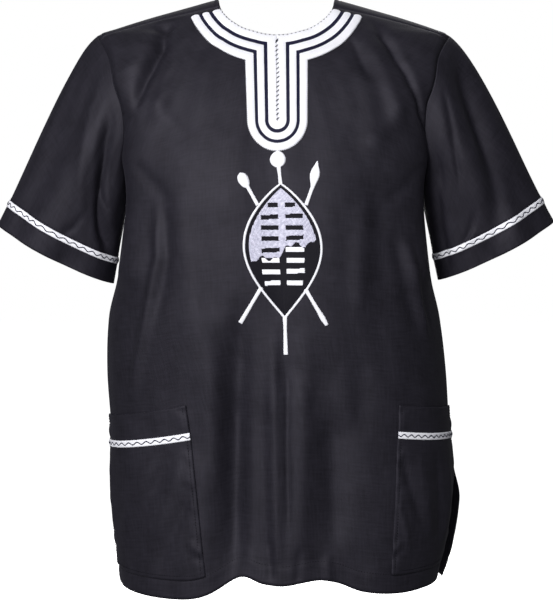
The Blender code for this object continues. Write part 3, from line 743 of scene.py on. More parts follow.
class BackPanel(Panel):
    """Back, which laps over the shoulders to the seam in front of their ridge."""

    middle = 180.0
    folds = BACK_FOLDS
    creases = BACK_CREASES
    noise_seed = 17

    def angle_of(self, x: Numbers, z: Numbers) -> Numbers:
        """Polar angle of the back's point at a sideways distance."""
        return self.trunk.angle_at_x(x, z, False)

    def stops(self, column: Numbers, row: Numbers) -> tuple[Numbers, Numbers]:
        """Angle and height of places of the right half, by share across and row down."""
        last = BACK_UPPER_ROWS + LOWER_ROWS
        share = np.minimum(row / BACK_NECK_ROWS, 1)
        neck = self.trunk.neck_stop(NECK_CORNER + (180 - NECK_CORNER) * share)
        down = np.interp(row, (BACK_NECK_ROWS, BACK_UPPER_ROWS, last), (-BACK_NECK_DROP, RISE_FROM, HEM))
        upper = row < BACK_NECK_ROWS
        inner = np.where(upper, neck[0], 180.0), np.where(upper, neck[1], down)
        arm = self.trunk.armhole_stop(np.minimum(row, BACK_UPPER_ROWS) - SEAM_STOPS)
        side = np.interp(row, (BACK_UPPER_ROWS, last), (ARMHOLE_MIDDLE - ARMHOLE_HALF_HEIGHT, HEM))
        upper = row < BACK_UPPER_ROWS
        outer = np.where(upper, arm[0], 90.0), np.where(upper, arm[1], side)
        return self.trunk.between(inner, outer, column)


@dataclass(frozen=True)
class SleeveFold:
    """Soft ridge or trough of a sleeve, by degrees round it and share of the way to the cuff."""

    turn_from: float
    turn_to: float
    along_from: float
    along_to: float
    width: float
    height: float
    run_out: float = 60

    def lift(self, turn: Numbers, along: Numbers) -> Numbers:
        """Height that the fold adds, which falls off past its ends by degrees for each share."""
        share = np.clip((along - self.along_from) / (self.along_to - self.along_from), 0, 1)
        middle = self.turn_from + (self.turn_to - self.turn_from) * share
        past = np.maximum(np.maximum(self.along_from - along, along - self.along_to), 0) * self.run_out
        return self.height * bell(np.hypot(turn - middle, past), self.width)


SLEEVE_FOLDS = (
    SleeveFold(-118, -104, 0.25, 0.95, 16, -8),
    SleeveFold(-84, -72, 0.20, 0.85, 17, 5),
    SleeveFold(-52, -44, 0.35, 1.00, 15, -4),
    SleeveFold(70, 78, 0.25, 0.90, 18, 5),
    SleeveFold(108, 98, 0.30, 1.00, 16, -7),
)
CUFF_CENTRES = {LEFT: (289, 4, -331), RIGHT: (288, 4, -326)}
CUFF_HEM = 33
# Creases of each sleeve by degrees round it (-90 is its front) and share of the way to the cuff
SLEEVE_CREASES = {
    LEFT: (
        Crease(((-26, 0.06), (-34, 0.30), (-38, 0.62)), 12, -2.2, 0.3),
        Crease(((-118, 0.25), (-110, 0.60), (-104, 0.98)), 17, 5.0),
        Crease(((-78, 0.05), (-92, 0.25), (-117, 0.48), (-139, 0.66), (-152, 0.81)), 15, -11.0, -0.2),
        Crease(((-54, 0.08), (-62, 0.25), (-84, 0.50), (-108, 0.76)), 9, 2.4),
        Crease(((-106, 0.36), (-122, 0.40), (-136, 0.42)), 4, -1.6),
        Crease(((-86, 0.86), (-96, 0.74), (-100, 0.62)), 5, -1.8, 0.3),
        Crease(((-8, 0.10), (-12, 0.50), (-20, 0.90)), 13, -1.4),
        Crease(((30, 0.05), (34, 0.40), (30, 0.85)), 10, -2.8, 0.3),
        Crease(((62, 0.08), (66, 0.50), (60, 0.90)), 9, 2.6),
        Crease(((96, 0.06), (92, 0.45), (86, 0.95)), 9, -3.2, 0.3),
        Crease(((130, 0.10), (124, 0.50), (120, 0.95)), 9, 3.0),
        Crease(((164, 0.10), (160, 0.90)), 10, -2.0),
    ),
    RIGHT: (
        Crease(((-118, 0.25), (-110, 0.60), (-104, 0.98)), 17, 4.5),
        Crease(((-28, 0.06), (-40, 0.25), (-58, 0.50), (-77, 0.76), (-90, 0.98)), 16, -9.0, 0.2),
        Crease(((-66, 0.06), (-84, 0.30), (-100, 0.52)), 6, -2.6, 0.3),
        Crease(((-130, 0.20), (-140, 0.55), (-146, 0.98)), 10, -3.6, -0.3),
        Crease(((-92, 0.66), (-108, 0.74), (-128, 0.80)), 6, -2.2),
        Crease(((-98, 0.76), (-116, 0.80), (-130, 0.82)), 5, 1.8),
        Crease(((4, 0.10), (0, 0.50), (-6, 0.90)), 13, -1.3),
        Crease(((34, 0.05), (38, 0.44), (32, 0.85)), 10, -2.6, 0.3),
        Crease(((70, 0.08), (72, 0.50), (66, 0.90)), 9, 2.8),
        Crease(((100, 0.06), (98, 0.45), (90, 0.95)), 9, -3.0, 0.3),
        Crease(((136, 0.10), (128, 0.50), (122, 0.95)), 9, 2.8),
        Crease(((166, 0.10), (162, 0.90)), 10, -2.0),
    ),
}


@dataclass(frozen=True)
class SleeveCrumple:
    """Smooth random waves that close up round a sleeve. More lumps make them narrower."""

    height: float
    lumps: float
    length: float
    seed: int
    noise_from: float = 9

    def lift(self, turn: Numbers, down: Numbers) -> Numbers:
        """Height that the waves add at turns in radians and distances down."""
        across = self.lumps * np.cos(turn) + self.noise_from
        return self.height * soft_noise(across, self.lumps * np.sin(turn) + down / self.length, self.seed)


SLEEVE_CRUMPLES = {
    LEFT: (SleeveCrumple(0.7, 3, 90, 29), SleeveCrumple(0.2, 8, 50, 33)),
    RIGHT: (SleeveCrumple(0.7, 3, 90, 31), SleeveCrumple(0.2, 8, 50, 33)),
}


@dataclass
class Sleeve:
    """Short sleeve, a tube from the armhole's ring to the open cuff.

    The cap's lift, draw and puff bend the way the cloth leaves the ring: up, inwards, and out to the
    front and the back. The cuff's direction is how strongly the cloth runs straight into the cuff, and
    the turn width is the cloth's width for each degree round the tube.
    """

    hand: int
    front: FrontPanel
    back: BackPanel
    cuff_half_width: float = 84
    cuff_half_depth: float = 52
    cuff_tilt: float = 27
    cuff_front_drop: float = 5
    cuff_direction: float = 0.9
    cap_lift: float = 154
    cap_draw: float = 10
    cap_puff: float = 26
    underarm_lift: float = 1.6
    ring_gap: float = 0.2
    ring_places: int = 513
    turn_width: float = 1.35
    length: float = 205
    folds_from: float = 0.25
    creases_from: float = 0.12

    def __post_init__(self) -> None:
        """Take the ring that the sleeve is sewn to from the two panels."""
        self.trunk = self.front.trunk
        self.ring = np.linspace(-ARMHOLE_STOPS / 2, ARMHOLE_STOPS / 2, self.ring_places)
        angle, z = self.trunk.armhole_stop(self.ring)
        angle = angle * self.hand
        placed = self.trunk.placed(angle, z)
        ahead = (self.ring < -SEAM_STOPS)[:, None]
        on_back = self.back.surface(angle, z, -EDGE_PINCH)
        self.edge = np.where(ahead, self.front.surface(*placed, -EDGE_PINCH), on_back)
        self.facing = np.where(ahead, self.trunk.normal(*placed), self.trunk.normal(angle, z))
        scale = self.turn_width, self.length
        self.creases = [(crease, np.array(crease.line) * scale) for crease in SLEEVE_CREASES[self.hand]]

    def at_ring(self, table: Numbers, index: Numbers) -> Numbers:
        """Read a table of the ring's points or directions at each stop."""
        return np.stack([np.interp(index, self.ring, table[:, axis]) for axis in range(3)], axis=-1)

    def cuff(self, index: Numbers) -> Numbers:
        """Points of the cuff's edge that armhole stops lead to."""
        turn = 2 * np.pi * index / ARMHOLE_STOPS
        tilt = math.radians(self.cuff_tilt)
        across, ahead = self.cuff_half_width * np.cos(turn), self.cuff_half_depth * np.sin(turn)
        x, y, z = CUFF_CENTRES[self.hand]
        drop = self.cuff_front_drop * np.sin(turn) ** 2
        points = stack(x + across * math.cos(tilt), y + ahead, z + across * math.sin(tilt) - drop)
        return points * (self.hand, 1, 1)

    def relief(self, index: Numbers, along: Numbers) -> Numbers:
        """Height of folds, creases and crumpling over the smooth tube."""
        turn = index * 360 / ARMHOLE_STOPS
        across, down = turn * self.turn_width, along * self.length
        height = sum(fold.lift(turn, along) for fold in SLEEVE_FOLDS)
        height *= smooth_step(along / self.folds_from)
        fine = sum(crease.lift(across, down, line) for crease, line in self.creases)
        for crumple in SLEEVE_CRUMPLES[self.hand]:
            fine += crumple.lift(np.radians(turn), down)
        return height + fine * smooth_step(along / self.creases_from)

    def point(self, index: Numbers, along: Numbers, lift: Numbers = 0.0) -> Numbers:
        """Points of the sleeve.

        Args:
            index: Stop round the armhole, 0 at the top and negative to the front.
            along: Share of the way from the armhole to the cuff's edge.
            lift: Distance out of the cloth.

        Returns:
            Points in millimetres.
        """
        turn = 2 * np.pi * index / ARMHOLE_STOPS
        under = (1 - np.cos(turn)) / 2
        hand, nought = np.full(np.shape(turn), float(self.hand)), np.zeros(np.shape(turn))
        start = self.at_ring(self.edge, index)
        start += self.at_ring(self.facing, index) * (self.underarm_lift * under ** 2)[..., None]
        start += stack(hand * self.ring_gap * (1 - under), nought, nought)
        end = self.cuff(index)
        run = end - start
        leave = run + stack(-self.cap_draw * hand, nought, self.cap_lift) * ((1 - under) ** 2)[..., None]
        leave += stack(nought, self.cap_puff * np.sin(turn), nought)
        t = along[..., None]
        points = (start * (2 * t ** 3 - 3 * t ** 2 + 1) + leave * (t ** 3 - 2 * t ** 2 + t)
                  + end * (3 * t ** 2 - 2 * t ** 3) + run * self.cuff_direction * (t ** 3 - t ** 2))
        tilt = math.radians(self.cuff_tilt)
        axis = np.array((self.hand * math.sin(tilt), 0, -math.cos(tilt)))
        armhole = np.array((ARMHOLE_CENTRE * self.hand, 0, ARMHOLE_MIDDLE))
        cuff = np.array(CUFF_CENTRES[self.hand]) * (self.hand, 1, 1)
        out = points - (armhole + (cuff - armhole) * t)
        out = unit(out - axis * (out @ axis)[..., None])
        return points + out * (self.relief(index, along) + lift)[..., None]


# Height of each pocket's top at the side, and how much it climbs towards the middle
POCKET_TOPS = {LEFT: (-538, 42), RIGHT: (-527, 30)}


@dataclass
class Pocket:
    """Patch pocket that wraps from the front towards the side seam.

    Its inner edge is given by distances from centre front, its outer edge by a polar angle. The belly is
    how far it stands off the front where it isn't sewn down.
    """

    hand: int
    front: FrontPanel
    bottom: float = -732
    inner_top: float = 132
    inner_bottom: float = 116
    outer_angle: float = 84
    off_front: float = 1.7
    belly: float = 3.5
    belly_from: float = 0.2
    belly_power: float = 0.8
    sides_power: float = 0.7
    lump_height: float = 0.8
    lumps_across: int = 5
    lumps_down: int = 7
    noise_from: float = 3
    noise_seed: int = 51

    @property
    def height(self) -> float:
        """Level height of the pocket."""
        return POCKET_TOPS[self.hand][0] - self.bottom

    def place(self, across: Numbers, down: Numbers) -> tuple[Numbers, Numbers]:
        """Angle and height on the front, by share across and share down."""
        trunk = self.front.trunk
        top, top_rise = POCKET_TOPS[self.hand]
        z = top + (self.bottom - top) * down
        reach = self.inner_top + (self.inner_bottom - self.inner_top) * down
        inner = trunk.place_angle(trunk.wander.at(z) + reach * self.hand, z)
        angle = inner + (self.outer_angle * self.hand - inner) * across
        climb = top_rise * np.cos(np.radians(angle)) ** 2
        return angle, z + climb * (1 - down) + trunk.rise(angle, z) * down

    def point(self, across: Numbers, down: Numbers, lift: Numbers = 0.0) -> Numbers:
        """Points of the pocket's cloth, moved out by lift."""
        angle, z = self.place(across, down)
        sides = np.clip(4 * across * (1 - across), 0, 1) ** self.sides_power
        full = np.clip(down * (1 - self.belly_from) + self.belly_from, 0, 1)
        belly = self.belly * sides * np.sin(np.pi * full) ** self.belly_power
        place = across * self.lumps_across + self.noise_from, down * self.lumps_down
        belly += self.lump_height * soft_noise(*place, self.noise_seed + self.hand) * sides
        return self.front.surface(angle, z, self.off_front + belly + lift)


class Finish(Enum):
    """Finishes that the pieces are dressed in, by their material's name."""

    LINEN = "black_linen"
    SATIN = "white_satin_stitch"
    HIDE = "white_fill_stitch"
    NAVY = "navy_thread"
    BRAID = "white_braid"
    THREAD = "black_thread"


class Shading:
    """Builds one procedural material, node by node."""

    def __init__(self, name: str) -> None:
        """Start from a plain Principled shader."""
        self.material = bpy.data.materials.new(name)
        self.material.use_nodes = True
        self.tree = self.material.node_tree
        self.shader = self.tree.nodes["Principled BSDF"]
        self.bump: bpy.types.Node | None = None

    def node(self, kind: str, inputs: dict | None = None, **settings: object) -> bpy.types.Node:
        """Add a node.

        Args:
            kind: Its type, as ShaderNode... without the first word.
            inputs: Values or sockets for its inputs, by name or number.
            settings: Values of its properties.

        Returns:
            The node.
        """
        made = self.tree.nodes.new("ShaderNode" + kind)
        for name, value in settings.items():
            setattr(made, name, value)
        for name, value in (inputs or {}).items():
            if isinstance(value, bpy.types.NodeSocket):
                self.tree.links.new(value, made.inputs[name])
            else:
                made.inputs[name].default_value = value
        return made

    def set(self, **values: object) -> None:
        """Set or link the shader's inputs, their names written with underscores."""
        for name, value in values.items():
            socket = self.shader.inputs[name.replace("_", " ")]
            if isinstance(value, bpy.types.NodeSocket):
                self.tree.links.new(value, socket)
            else:
                socket.default_value = value

    def ramp(self, factor: bpy.types.NodeSocket, stops: tuple) -> bpy.types.NodeSocket:
        """Colour ramp through (place, colour) stops."""
        made = self.node("ValToRGB", {"Fac": factor})
        made.color_ramp.elements[0].position, made.color_ramp.elements[-1].position = 0.0, 1.0
        for element, (place, colour) in zip(made.color_ramp.elements, (stops[0], stops[-1])):
            element.position, element.color = place, (*colour, 1)
        for place, colour in stops[1:-1]:
            made.color_ramp.elements.new(place).color = (*colour, 1)
        return made.outputs["Color"]

    def raise_by(self, height: bpy.types.NodeSocket, distance: float, strength: float = 1.0) -> None:
        """Add a bump on top of those before it, its distance in metres."""
        inputs = {"Height": height, "Distance": distance, "Strength": strength}
        if self.bump:
            inputs["Normal"] = self.bump.outputs["Normal"]
        self.bump = self.node("Bump", inputs)
        self.tree.links.new(self.bump.outputs["Normal"], self.shader.inputs["Normal"])

    def maths(self, operation: str, *values: object) -> bpy.types.NodeSocket:
        """Maths node on values or sockets."""
        return self.node("Math", dict(enumerate(values)), operation=operation).outputs[0]

    def noise(self, place: bpy.types.NodeSocket, size: float, detail: float = 2.0) -> bpy.types.NodeSocket:
        """Noise with lumps of about a size in metres."""
        made = self.node("TexNoise", {"Vector": place, "Scale": 1 / size, "Detail": detail})
        return made.outputs[0]


# Scale of a wave texture whose bands lie one unit apart
WAVE_PERIOD = math.pi / 10


@dataclass(frozen=True)
class Linen:
    """Black plain-weave linen with a faint violet cast. Sizes and reliefs are in metres."""

    dark: tuple = (0.0058, 0.0053, 0.0082)
    light: tuple = (0.0146, 0.0136, 0.0197)
    dark_until: float = 0.36
    light_from: float = 0.64
    slub: float = 0.0024
    slub_stretch: float = 0.09
    slub_share: float = 0.35
    cloud: float = 0.030
    cloud_share: float = 0.3
    crumple: float = 0.020
    thread: float = 0.0006
    crumple_relief: float = 0.0006
    slub_relief: float = 0.00035
    weave_relief: float = 0.00008
    bump: float = 0.5
    roughness: float = 0.62
    sheen: float = 0.02
    sheen_roughness: float = 0.45
    sheen_tint: tuple = (0.62, 0.60, 0.80, 1)
    specular: float = 0.26
    specular_tint: tuple = (0.90, 0.86, 1.0, 1)

    def build(self) -> bpy.types.Material:
        """Woven threads, slubs and fine crumpling over a dark colour."""
        look = Shading(Finish.LINEN.value)
        flat = look.node("UVMap", uv_map="cloth").outputs["UV"]
        solid = look.node("TexCoord").outputs["Object"]
        slubs = []
        for stretch in ((1.0, self.slub_stretch, 1.0), (self.slub_stretch, 1.0, 1.0)):
            drawn_out = look.node("Mapping", {"Vector": flat, "Scale": stretch})
            slub = look.noise(drawn_out.outputs[0], self.slub, detail=4.0)
            slubs.append(look.maths("MULTIPLY", slub, self.slub_share))
        threads = look.maths("ADD", *slubs)
        cloud = look.maths("MULTIPLY", look.noise(solid, self.cloud, detail=6.0), self.cloud_share)
        tone = look.maths("ADD", threads, cloud)
        look.set(Base_Color=look.ramp(tone, ((self.dark_until, self.dark), (self.light_from, self.light))),
                 Roughness=self.roughness, Sheen_Weight=self.sheen, Sheen_Roughness=self.sheen_roughness,
                 Sheen_Tint=self.sheen_tint, Specular_IOR_Level=self.specular,
                 Specular_Tint=self.specular_tint)
        scale = WAVE_PERIOD / self.thread
        warp = look.node("TexWave", {"Vector": flat, "Scale": scale}, bands_direction="X")
        weft = look.node("TexWave", {"Vector": flat, "Scale": scale}, bands_direction="Y")
        weave = look.maths("MAXIMUM", warp.outputs["Fac"], weft.outputs["Fac"])
        look.raise_by(look.noise(solid, self.crumple, detail=3.0), self.crumple_relief, self.bump)
        look.raise_by(threads, self.slub_relief, self.bump)
        look.raise_by(weave, self.weave_relief, self.bump)
        return look.material


@dataclass(frozen=True)
class Stitched:
    """Dense embroidery thread, laid in rows that follow one another along its UV map's V."""

    finish: Finish
    dark: tuple
    light: tuple
    row: float = 0.0007
    row_share: float = 0.4
    unevenness: float = 1.5
    speck: float = 0.0016
    speck_share: float = 0.6
    dark_until: float = 0.25
    light_from: float = 0.6
    relief: float = 0.00022
    bump: float = 0.8
    roughness: float = 0.5
    sheen: float = 0.15
    sheen_tint: tuple = (0.85, 0.85, 1.0, 1)
    specular: float = 0.3

    def build(self) -> bpy.types.Material:
        """Rows of thread, uneven in tone and height."""
        look = Shading(self.finish.value)
        flat = look.node("UVMap", uv_map="cloth").outputs["UV"]
        rows = look.node("TexWave", {"Vector": flat, "Scale": WAVE_PERIOD / self.row,
                                     "Distortion": self.unevenness, "Detail": 2.0}, bands_direction="Y")
        speck = look.noise(flat, self.speck, detail=3.0)
        tone = look.maths("ADD", look.maths("MULTIPLY", rows.outputs["Fac"], self.row_share),
                          look.maths("MULTIPLY", speck, self.speck_share))
        look.set(Base_Color=look.ramp(tone, ((self.dark_until, self.dark), (self.light_from, self.light))),
                 Roughness=self.roughness, Sheen_Weight=self.sheen, Sheen_Tint=self.sheen_tint,
                 Specular_IOR_Level=self.specular)
        look.raise_by(tone, self.relief, self.bump)
        return look.material


FINISHES = (
    Stitched(Finish.SATIN, (0.70, 0.70, 0.79), (0.88, 0.88, 0.91)),
    Stitched(Finish.HIDE, (0.14, 0.14, 0.24), (0.74, 0.73, 0.86), row=0.0014, relief=0.0004, speck=0.0040,
             dark_until=0.37, light_from=0.52),
    Stitched(Finish.NAVY, (0.005, 0.005, 0.014), (0.014, 0.014, 0.040), sheen=0.0, specular=0.1),
    Stitched(Finish.BRAID, (0.68, 0.68, 0.78), (0.88, 0.88, 0.91), row=0.0014, relief=0.0003),
    Stitched(Finish.THREAD, (0.003, 0.003, 0.005), (0.010, 0.009, 0.014), roughness=0.6, sheen=0.0,
             specular=0.1),
)


@dataclass
class Piece:
    """One visible mesh while it is made."""

    name: str
    finishes: tuple[Finish, ...]
    slot: str
    wall: float = CLOTH_WALL

    def __post_init__(self) -> None:
        """Start an empty mesh with a UV map in metres of cloth."""
        self.shape = bmesh.new()
        self.uv = self.shape.loops.layers.uv.new("cloth")

    def lay(self, columns: int, rows: int, place: Placer, finish_of: Placer | None = None) -> None:
        """Add a grid and lay it where place says.

        Args:
            columns: Faces across.
            rows: Faces down.
            place: Turns shares across and down into points in millimetres.
            finish_of: Turns a face's shares across and down into the number of its finish.
        """
        made = bmesh.ops.create_grid(self.shape, x_segments=columns, y_segments=rows, size=0.5)["verts"]
        shares = np.array([vert.co.to_tuple() for vert in made])[:, :2] + 0.5
        points = place(shares[:, 0], shares[:, 1]) * MM
        flat = self.unrolled(shares, points)
        middles: dict[bmesh.types.BMFace, Numbers] = {}
        for vert, share, point, spot in zip(made, shares, points, flat):
            for loop in vert.link_loops:
                loop[self.uv].uv = spot
                middles[loop.face] = middles.get(loop.face, 0) + share / 4
            vert.co = point
        if finish_of:
            shares = np.array(list(middles.values()))
            for face, number in zip(middles, finish_of(shares[:, 0], shares[:, 1])):
                face.material_index = int(number)

    @staticmethod
    def unrolled(shares: Numbers, points: Numbers) -> Numbers:
        """Distances across and down a grid, measured along the cloth.

        Args:
            shares: Shares across and down of each point.
            points: The points as they lie.

        Returns:
            Distances in metres, one pair for each point.
        """
        order = np.lexsort((shares[:, 0].round(6), shares[:, 1].round(6)))
        columns = len(np.unique(shares[:, 0].round(6)))
        grid = points[order].reshape(-1, columns, 3)
        flat = np.zeros(grid.shape[:2] + (2,))
        flat[:, 1:, 0] = np.cumsum(np.linalg.norm(np.diff(grid, axis=1), axis=2), axis=1)
        flat[1:, :, 1] = np.cumsum(np.linalg.norm(np.diff(grid, axis=0), axis=2), axis=0)
        spots = np.empty((len(points), 2))
        spots[order] = flat.reshape(-1, 2)
        return spots

    def finish(self, thick: bool = True) -> bpy.types.Object:
        """Close the piece's seams and give it a wall, its materials and its body.

        Args:
            thick: Whether an open sheet gets a wall.

        Returns:
            The finished object.
        """
        bmesh.ops.remove_doubles(self.shape, verts=self.shape.verts, dist=JOIN_REACH * MM)
        bmesh.ops.recalc_face_normals(self.shape, faces=self.shape.faces)
        mesh = bpy.data.meshes.new(self.name)
        self.shape.to_mesh(mesh)
        self.shape.free()
        mesh.shade_smooth()
        made = bpy.data.objects.new(self.name, mesh)
        bpy.context.scene.collection.objects.link(made)
        for finish in self.finishes:
            mesh.materials.append(bpy.data.materials[finish.value])
        if thick:
            wall = made.modifiers.new("Wall", "SOLIDIFY")
            wall.thickness = self.wall * MM
            wall.offset = 0.0
        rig.ride(made, "root")
        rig.slot(made, self.slot)
        log.info("%s: %d faces", self.name, len(mesh.polygons))
        return made


@dataclass
class Stitching:
    """Rows of single stitches, joined in one mesh. The aside direction is one that no row follows."""

    name: str
    finish: Finish
    slot: str
    radius: float = 0.36
    sides: int = 6
    rings: int = 4
    aside: tuple = (0.0, 0.3, 1.0)

    def __post_init__(self) -> None:
        """Start with no stitch."""
        self.ends: list[tuple[Numbers, Numbers]] = []

    def stitch(self, start: Numbers, end: Numbers) -> None:
        """Sew one stitch between two points."""
        self.ends.append((start, end))

    def run(self, line: Numbers, pitch: float = 3.6, length: float = 2.5) -> None:
        """Sew a row of stitches.

        Args:
            line: Points along the row.
            pitch: Distance from one stitch to the next.
            length: Length of each stitch.
        """
        steps = np.linalg.norm(np.diff(line, axis=0), axis=1)
        reached = np.concatenate(([0.0], np.cumsum(steps)))
        for start in np.arange(0, reached[-1] - length, pitch):
            ends = [np.array([np.interp(place, reached, line[:, axis]) for axis in range(3)])
                    for place in (start, start + length)]
            self.stitch(*ends)

    def build(self) -> bpy.types.Object:
        """Copy one slim rounded bead of thread to each stitch and join them all."""
        bead = bmesh.new()
        bmesh.ops.create_uvsphere(bead, u_segments=self.sides, v_segments=self.rings, radius=1)
        spots = np.array([vert.co.to_tuple() for vert in bead.verts])
        faces = [[vert.index for vert in face.verts] for face in bead.faces]
        bead.free()
        starts, ends = (np.array(side) * MM for side in zip(*self.ends))
        run = ends - starts
        along = unit(run)
        side = unit(np.cross(along, self.aside))
        up = np.cross(along, side)
        points = (starts + ends)[:, None] / 2 + spots[:, 0, None] * run[:, None] / 2
        thin = self.radius * MM
        points = points + thin * (spots[:, 1, None] * side[:, None] + spots[:, 2, None] * up[:, None])
        joined = [[corner + first for corner in face]
                  for first in range(0, len(starts) * len(spots), len(spots)) for face in faces]
        mesh = bpy.data.meshes.new(self.name)
        mesh.from_pydata(points.reshape(-1, 3).tolist(), [], joined)
        piece = Piece(self.name, (self.finish,), self.slot)
        piece.shape.from_mesh(mesh)
        bpy.data.meshes.remove(mesh)
        return piece.finish(thick=False)


@dataclass(frozen=True)
class Hem:
    """Turned edge: a double layer with a row of stitches that draw the cloth into small puckers."""

    depth: float
    thick: float = 0.5
    groove: float = 0.7
    pucker: float = 0.7
    step: float = 2.0
    groove_width: float = 1.7
    pucker_pitch: float = 9
    pucker_length: float = 30
    pucker_reach: float = 11
    noise_seed: int = 71

    def relief(self, from_edge: Numbers, along: Numbers) -> Numbers:
        """Height that the turned edge adds.

        Args:
            from_edge: Distance from the cloth's edge.
            along: Distance along the edge.

        Returns:
            Heights in millimetres.
        """
        past_seam = from_edge - self.depth
        doubled = self.thick * (1 - smooth_step((past_seam + self.step / 2) / self.step))
        sewn = self.groove * bell(past_seam, self.groove_width)
        waves = soft_noise(along / self.pucker_pitch, from_edge / self.pucker_length, self.noise_seed)
        return doubled - sewn + self.pucker * waves * bell(past_seam, self.pucker_reach)


SHIRT_HEM = Hem(25, pucker=1.1)
VENT_HEM = Hem(12, pucker=0.4)
NECK_HEM = Hem(7, pucker=0.2)
CUFF_EDGE = Hem(CUFF_HEM, pucker=0.6)
POCKET_TOP = Hem(37, thick=0.6, pucker=0.3)


@dataclass
class PanelPiece:
    """Visible cloth of the front or the back, made of two halves that share the middle.

    The upper share is the part of the mesh's rows above the underarm. The half width, the row height and
    the neck's stretch turn places of the cut into rough distances, which place hems and seams.
    """

    panel: FrontPanel | BackPanel
    name: str
    columns: int = 116
    rows: int = 196
    hem_stops: int = 160
    upper_share: float = 0.40
    half_width: float = 190
    row_height: float = 15
    neck_stretch: float = 1.3
    vent_fade: float = 12
    on_middle: float = 1e-6
    on_row: float = 0.01

    def __post_init__(self) -> None:
        """Count the rows of the cut."""
        self.front = isinstance(self.panel, FrontPanel)
        self.upper = FRONT_UPPER_ROWS if self.front else BACK_UPPER_ROWS
        self.last = self.upper + LOWER_ROWS

    def row_at(self, down: Numbers) -> Numbers:
        """Row of the cloth at a share down."""
        return np.interp(down, (0, self.upper_share, 1), (0, self.upper, self.last))

    def down_at_hem(self, distance: float) -> float:
        """Share down at a distance above the hem."""
        rows = distance / ((RISE_FROM - HEM) / LOWER_ROWS)
        return 1 - rows / LOWER_ROWS * (1 - self.upper_share)

    def place(self, hand: int, lift: float = 0.0) -> Placer:
        """Placer of one half, from the middle to the side and from the shoulder seam to the hem."""
        def placer(across: Numbers, down: Numbers) -> Numbers:
            """Points of the half."""
            row = self.row_at(down)
            angle, z = self.panel.stops(across, row)
            above_hem, from_side = z - HEM, (1 - across) * self.half_width
            edge = self.edge_relief(across, row, above_hem, from_side)
            angle = angle * hand
            if self.front:
                angle, z = self.panel.trunk.placed(angle, z)
            points = self.panel.surface(angle, z, edge + lift)
            if self.front:
                parted = (across < self.on_middle) & (row < NECK_ROWS + SLIT_ROWS)
                parted &= row > NECK_ROWS - self.on_row
                points[parted, 0] = np.maximum(points[parted, 0] * hand, SLIT_HALF) * hand
            return points
        return placer

    def edge_relief(self, across: Numbers, row: Numbers, above_hem: Numbers,
                    from_side: Numbers) -> Numbers:
        """Height of hems and seams.

        Args:
            across: Share of the way from the middle to the side.
            row: Row down from the shoulder seam.
            above_hem: Distance above the hem.
            from_side: Distance from the side seam or the armhole.

        Returns:
            Heights in millimetres.
        """
        around, from_shoulder = across * self.half_width, row * self.row_height
        relief = SHIRT_HEM.relief(above_hem, around)
        vent = smooth_step((VENT_TOP - HEM - above_hem) / self.vent_fade)
        relief += vent * VENT_HEM.relief(from_side, above_hem)
        relief -= EDGE_PINCH * (1 - vent) * bell(from_side, SEAM_WIDTH)
        relief -= EDGE_PINCH * bell(from_shoulder, SEAM_WIDTH)
        if not self.front:
            neck = smooth_step(BACK_NECK_ROWS + 1 - row)
            relief += neck * NECK_HEM.relief(around * self.neck_stretch, from_shoulder)
        return relief

    def build(self) -> bpy.types.Object:
        """Make the panel as one sheet."""
        piece = Piece(self.name, (Finish.LINEN,), "black_cloth")
        for hand in (LEFT, RIGHT):
            piece.lay(self.columns, self.rows, self.place(hand))
        return piece.finish()

    def sew(self, stitches: Stitching) -> None:
        """Sew the hem."""
        across = np.linspace(0, 1, self.hem_stops)
        down = np.full(self.hem_stops, self.down_at_hem(SHIRT_HEM.depth))
        for hand in (LEFT, RIGHT):
            stitches.run(self.place(hand, CLOTH_WALL / 2 + THREAD_PROUD)(across, down))


# Share of the trim's width at which each band ends, from its outer edge, and the columns up to there
TRIM_BANDS = ((0.251, 7), (0.364, 10), (0.584, 17), (0.706, 20), (1.0, 28))
NAVY_COLUMNS = ((7, 10), (17, 20))


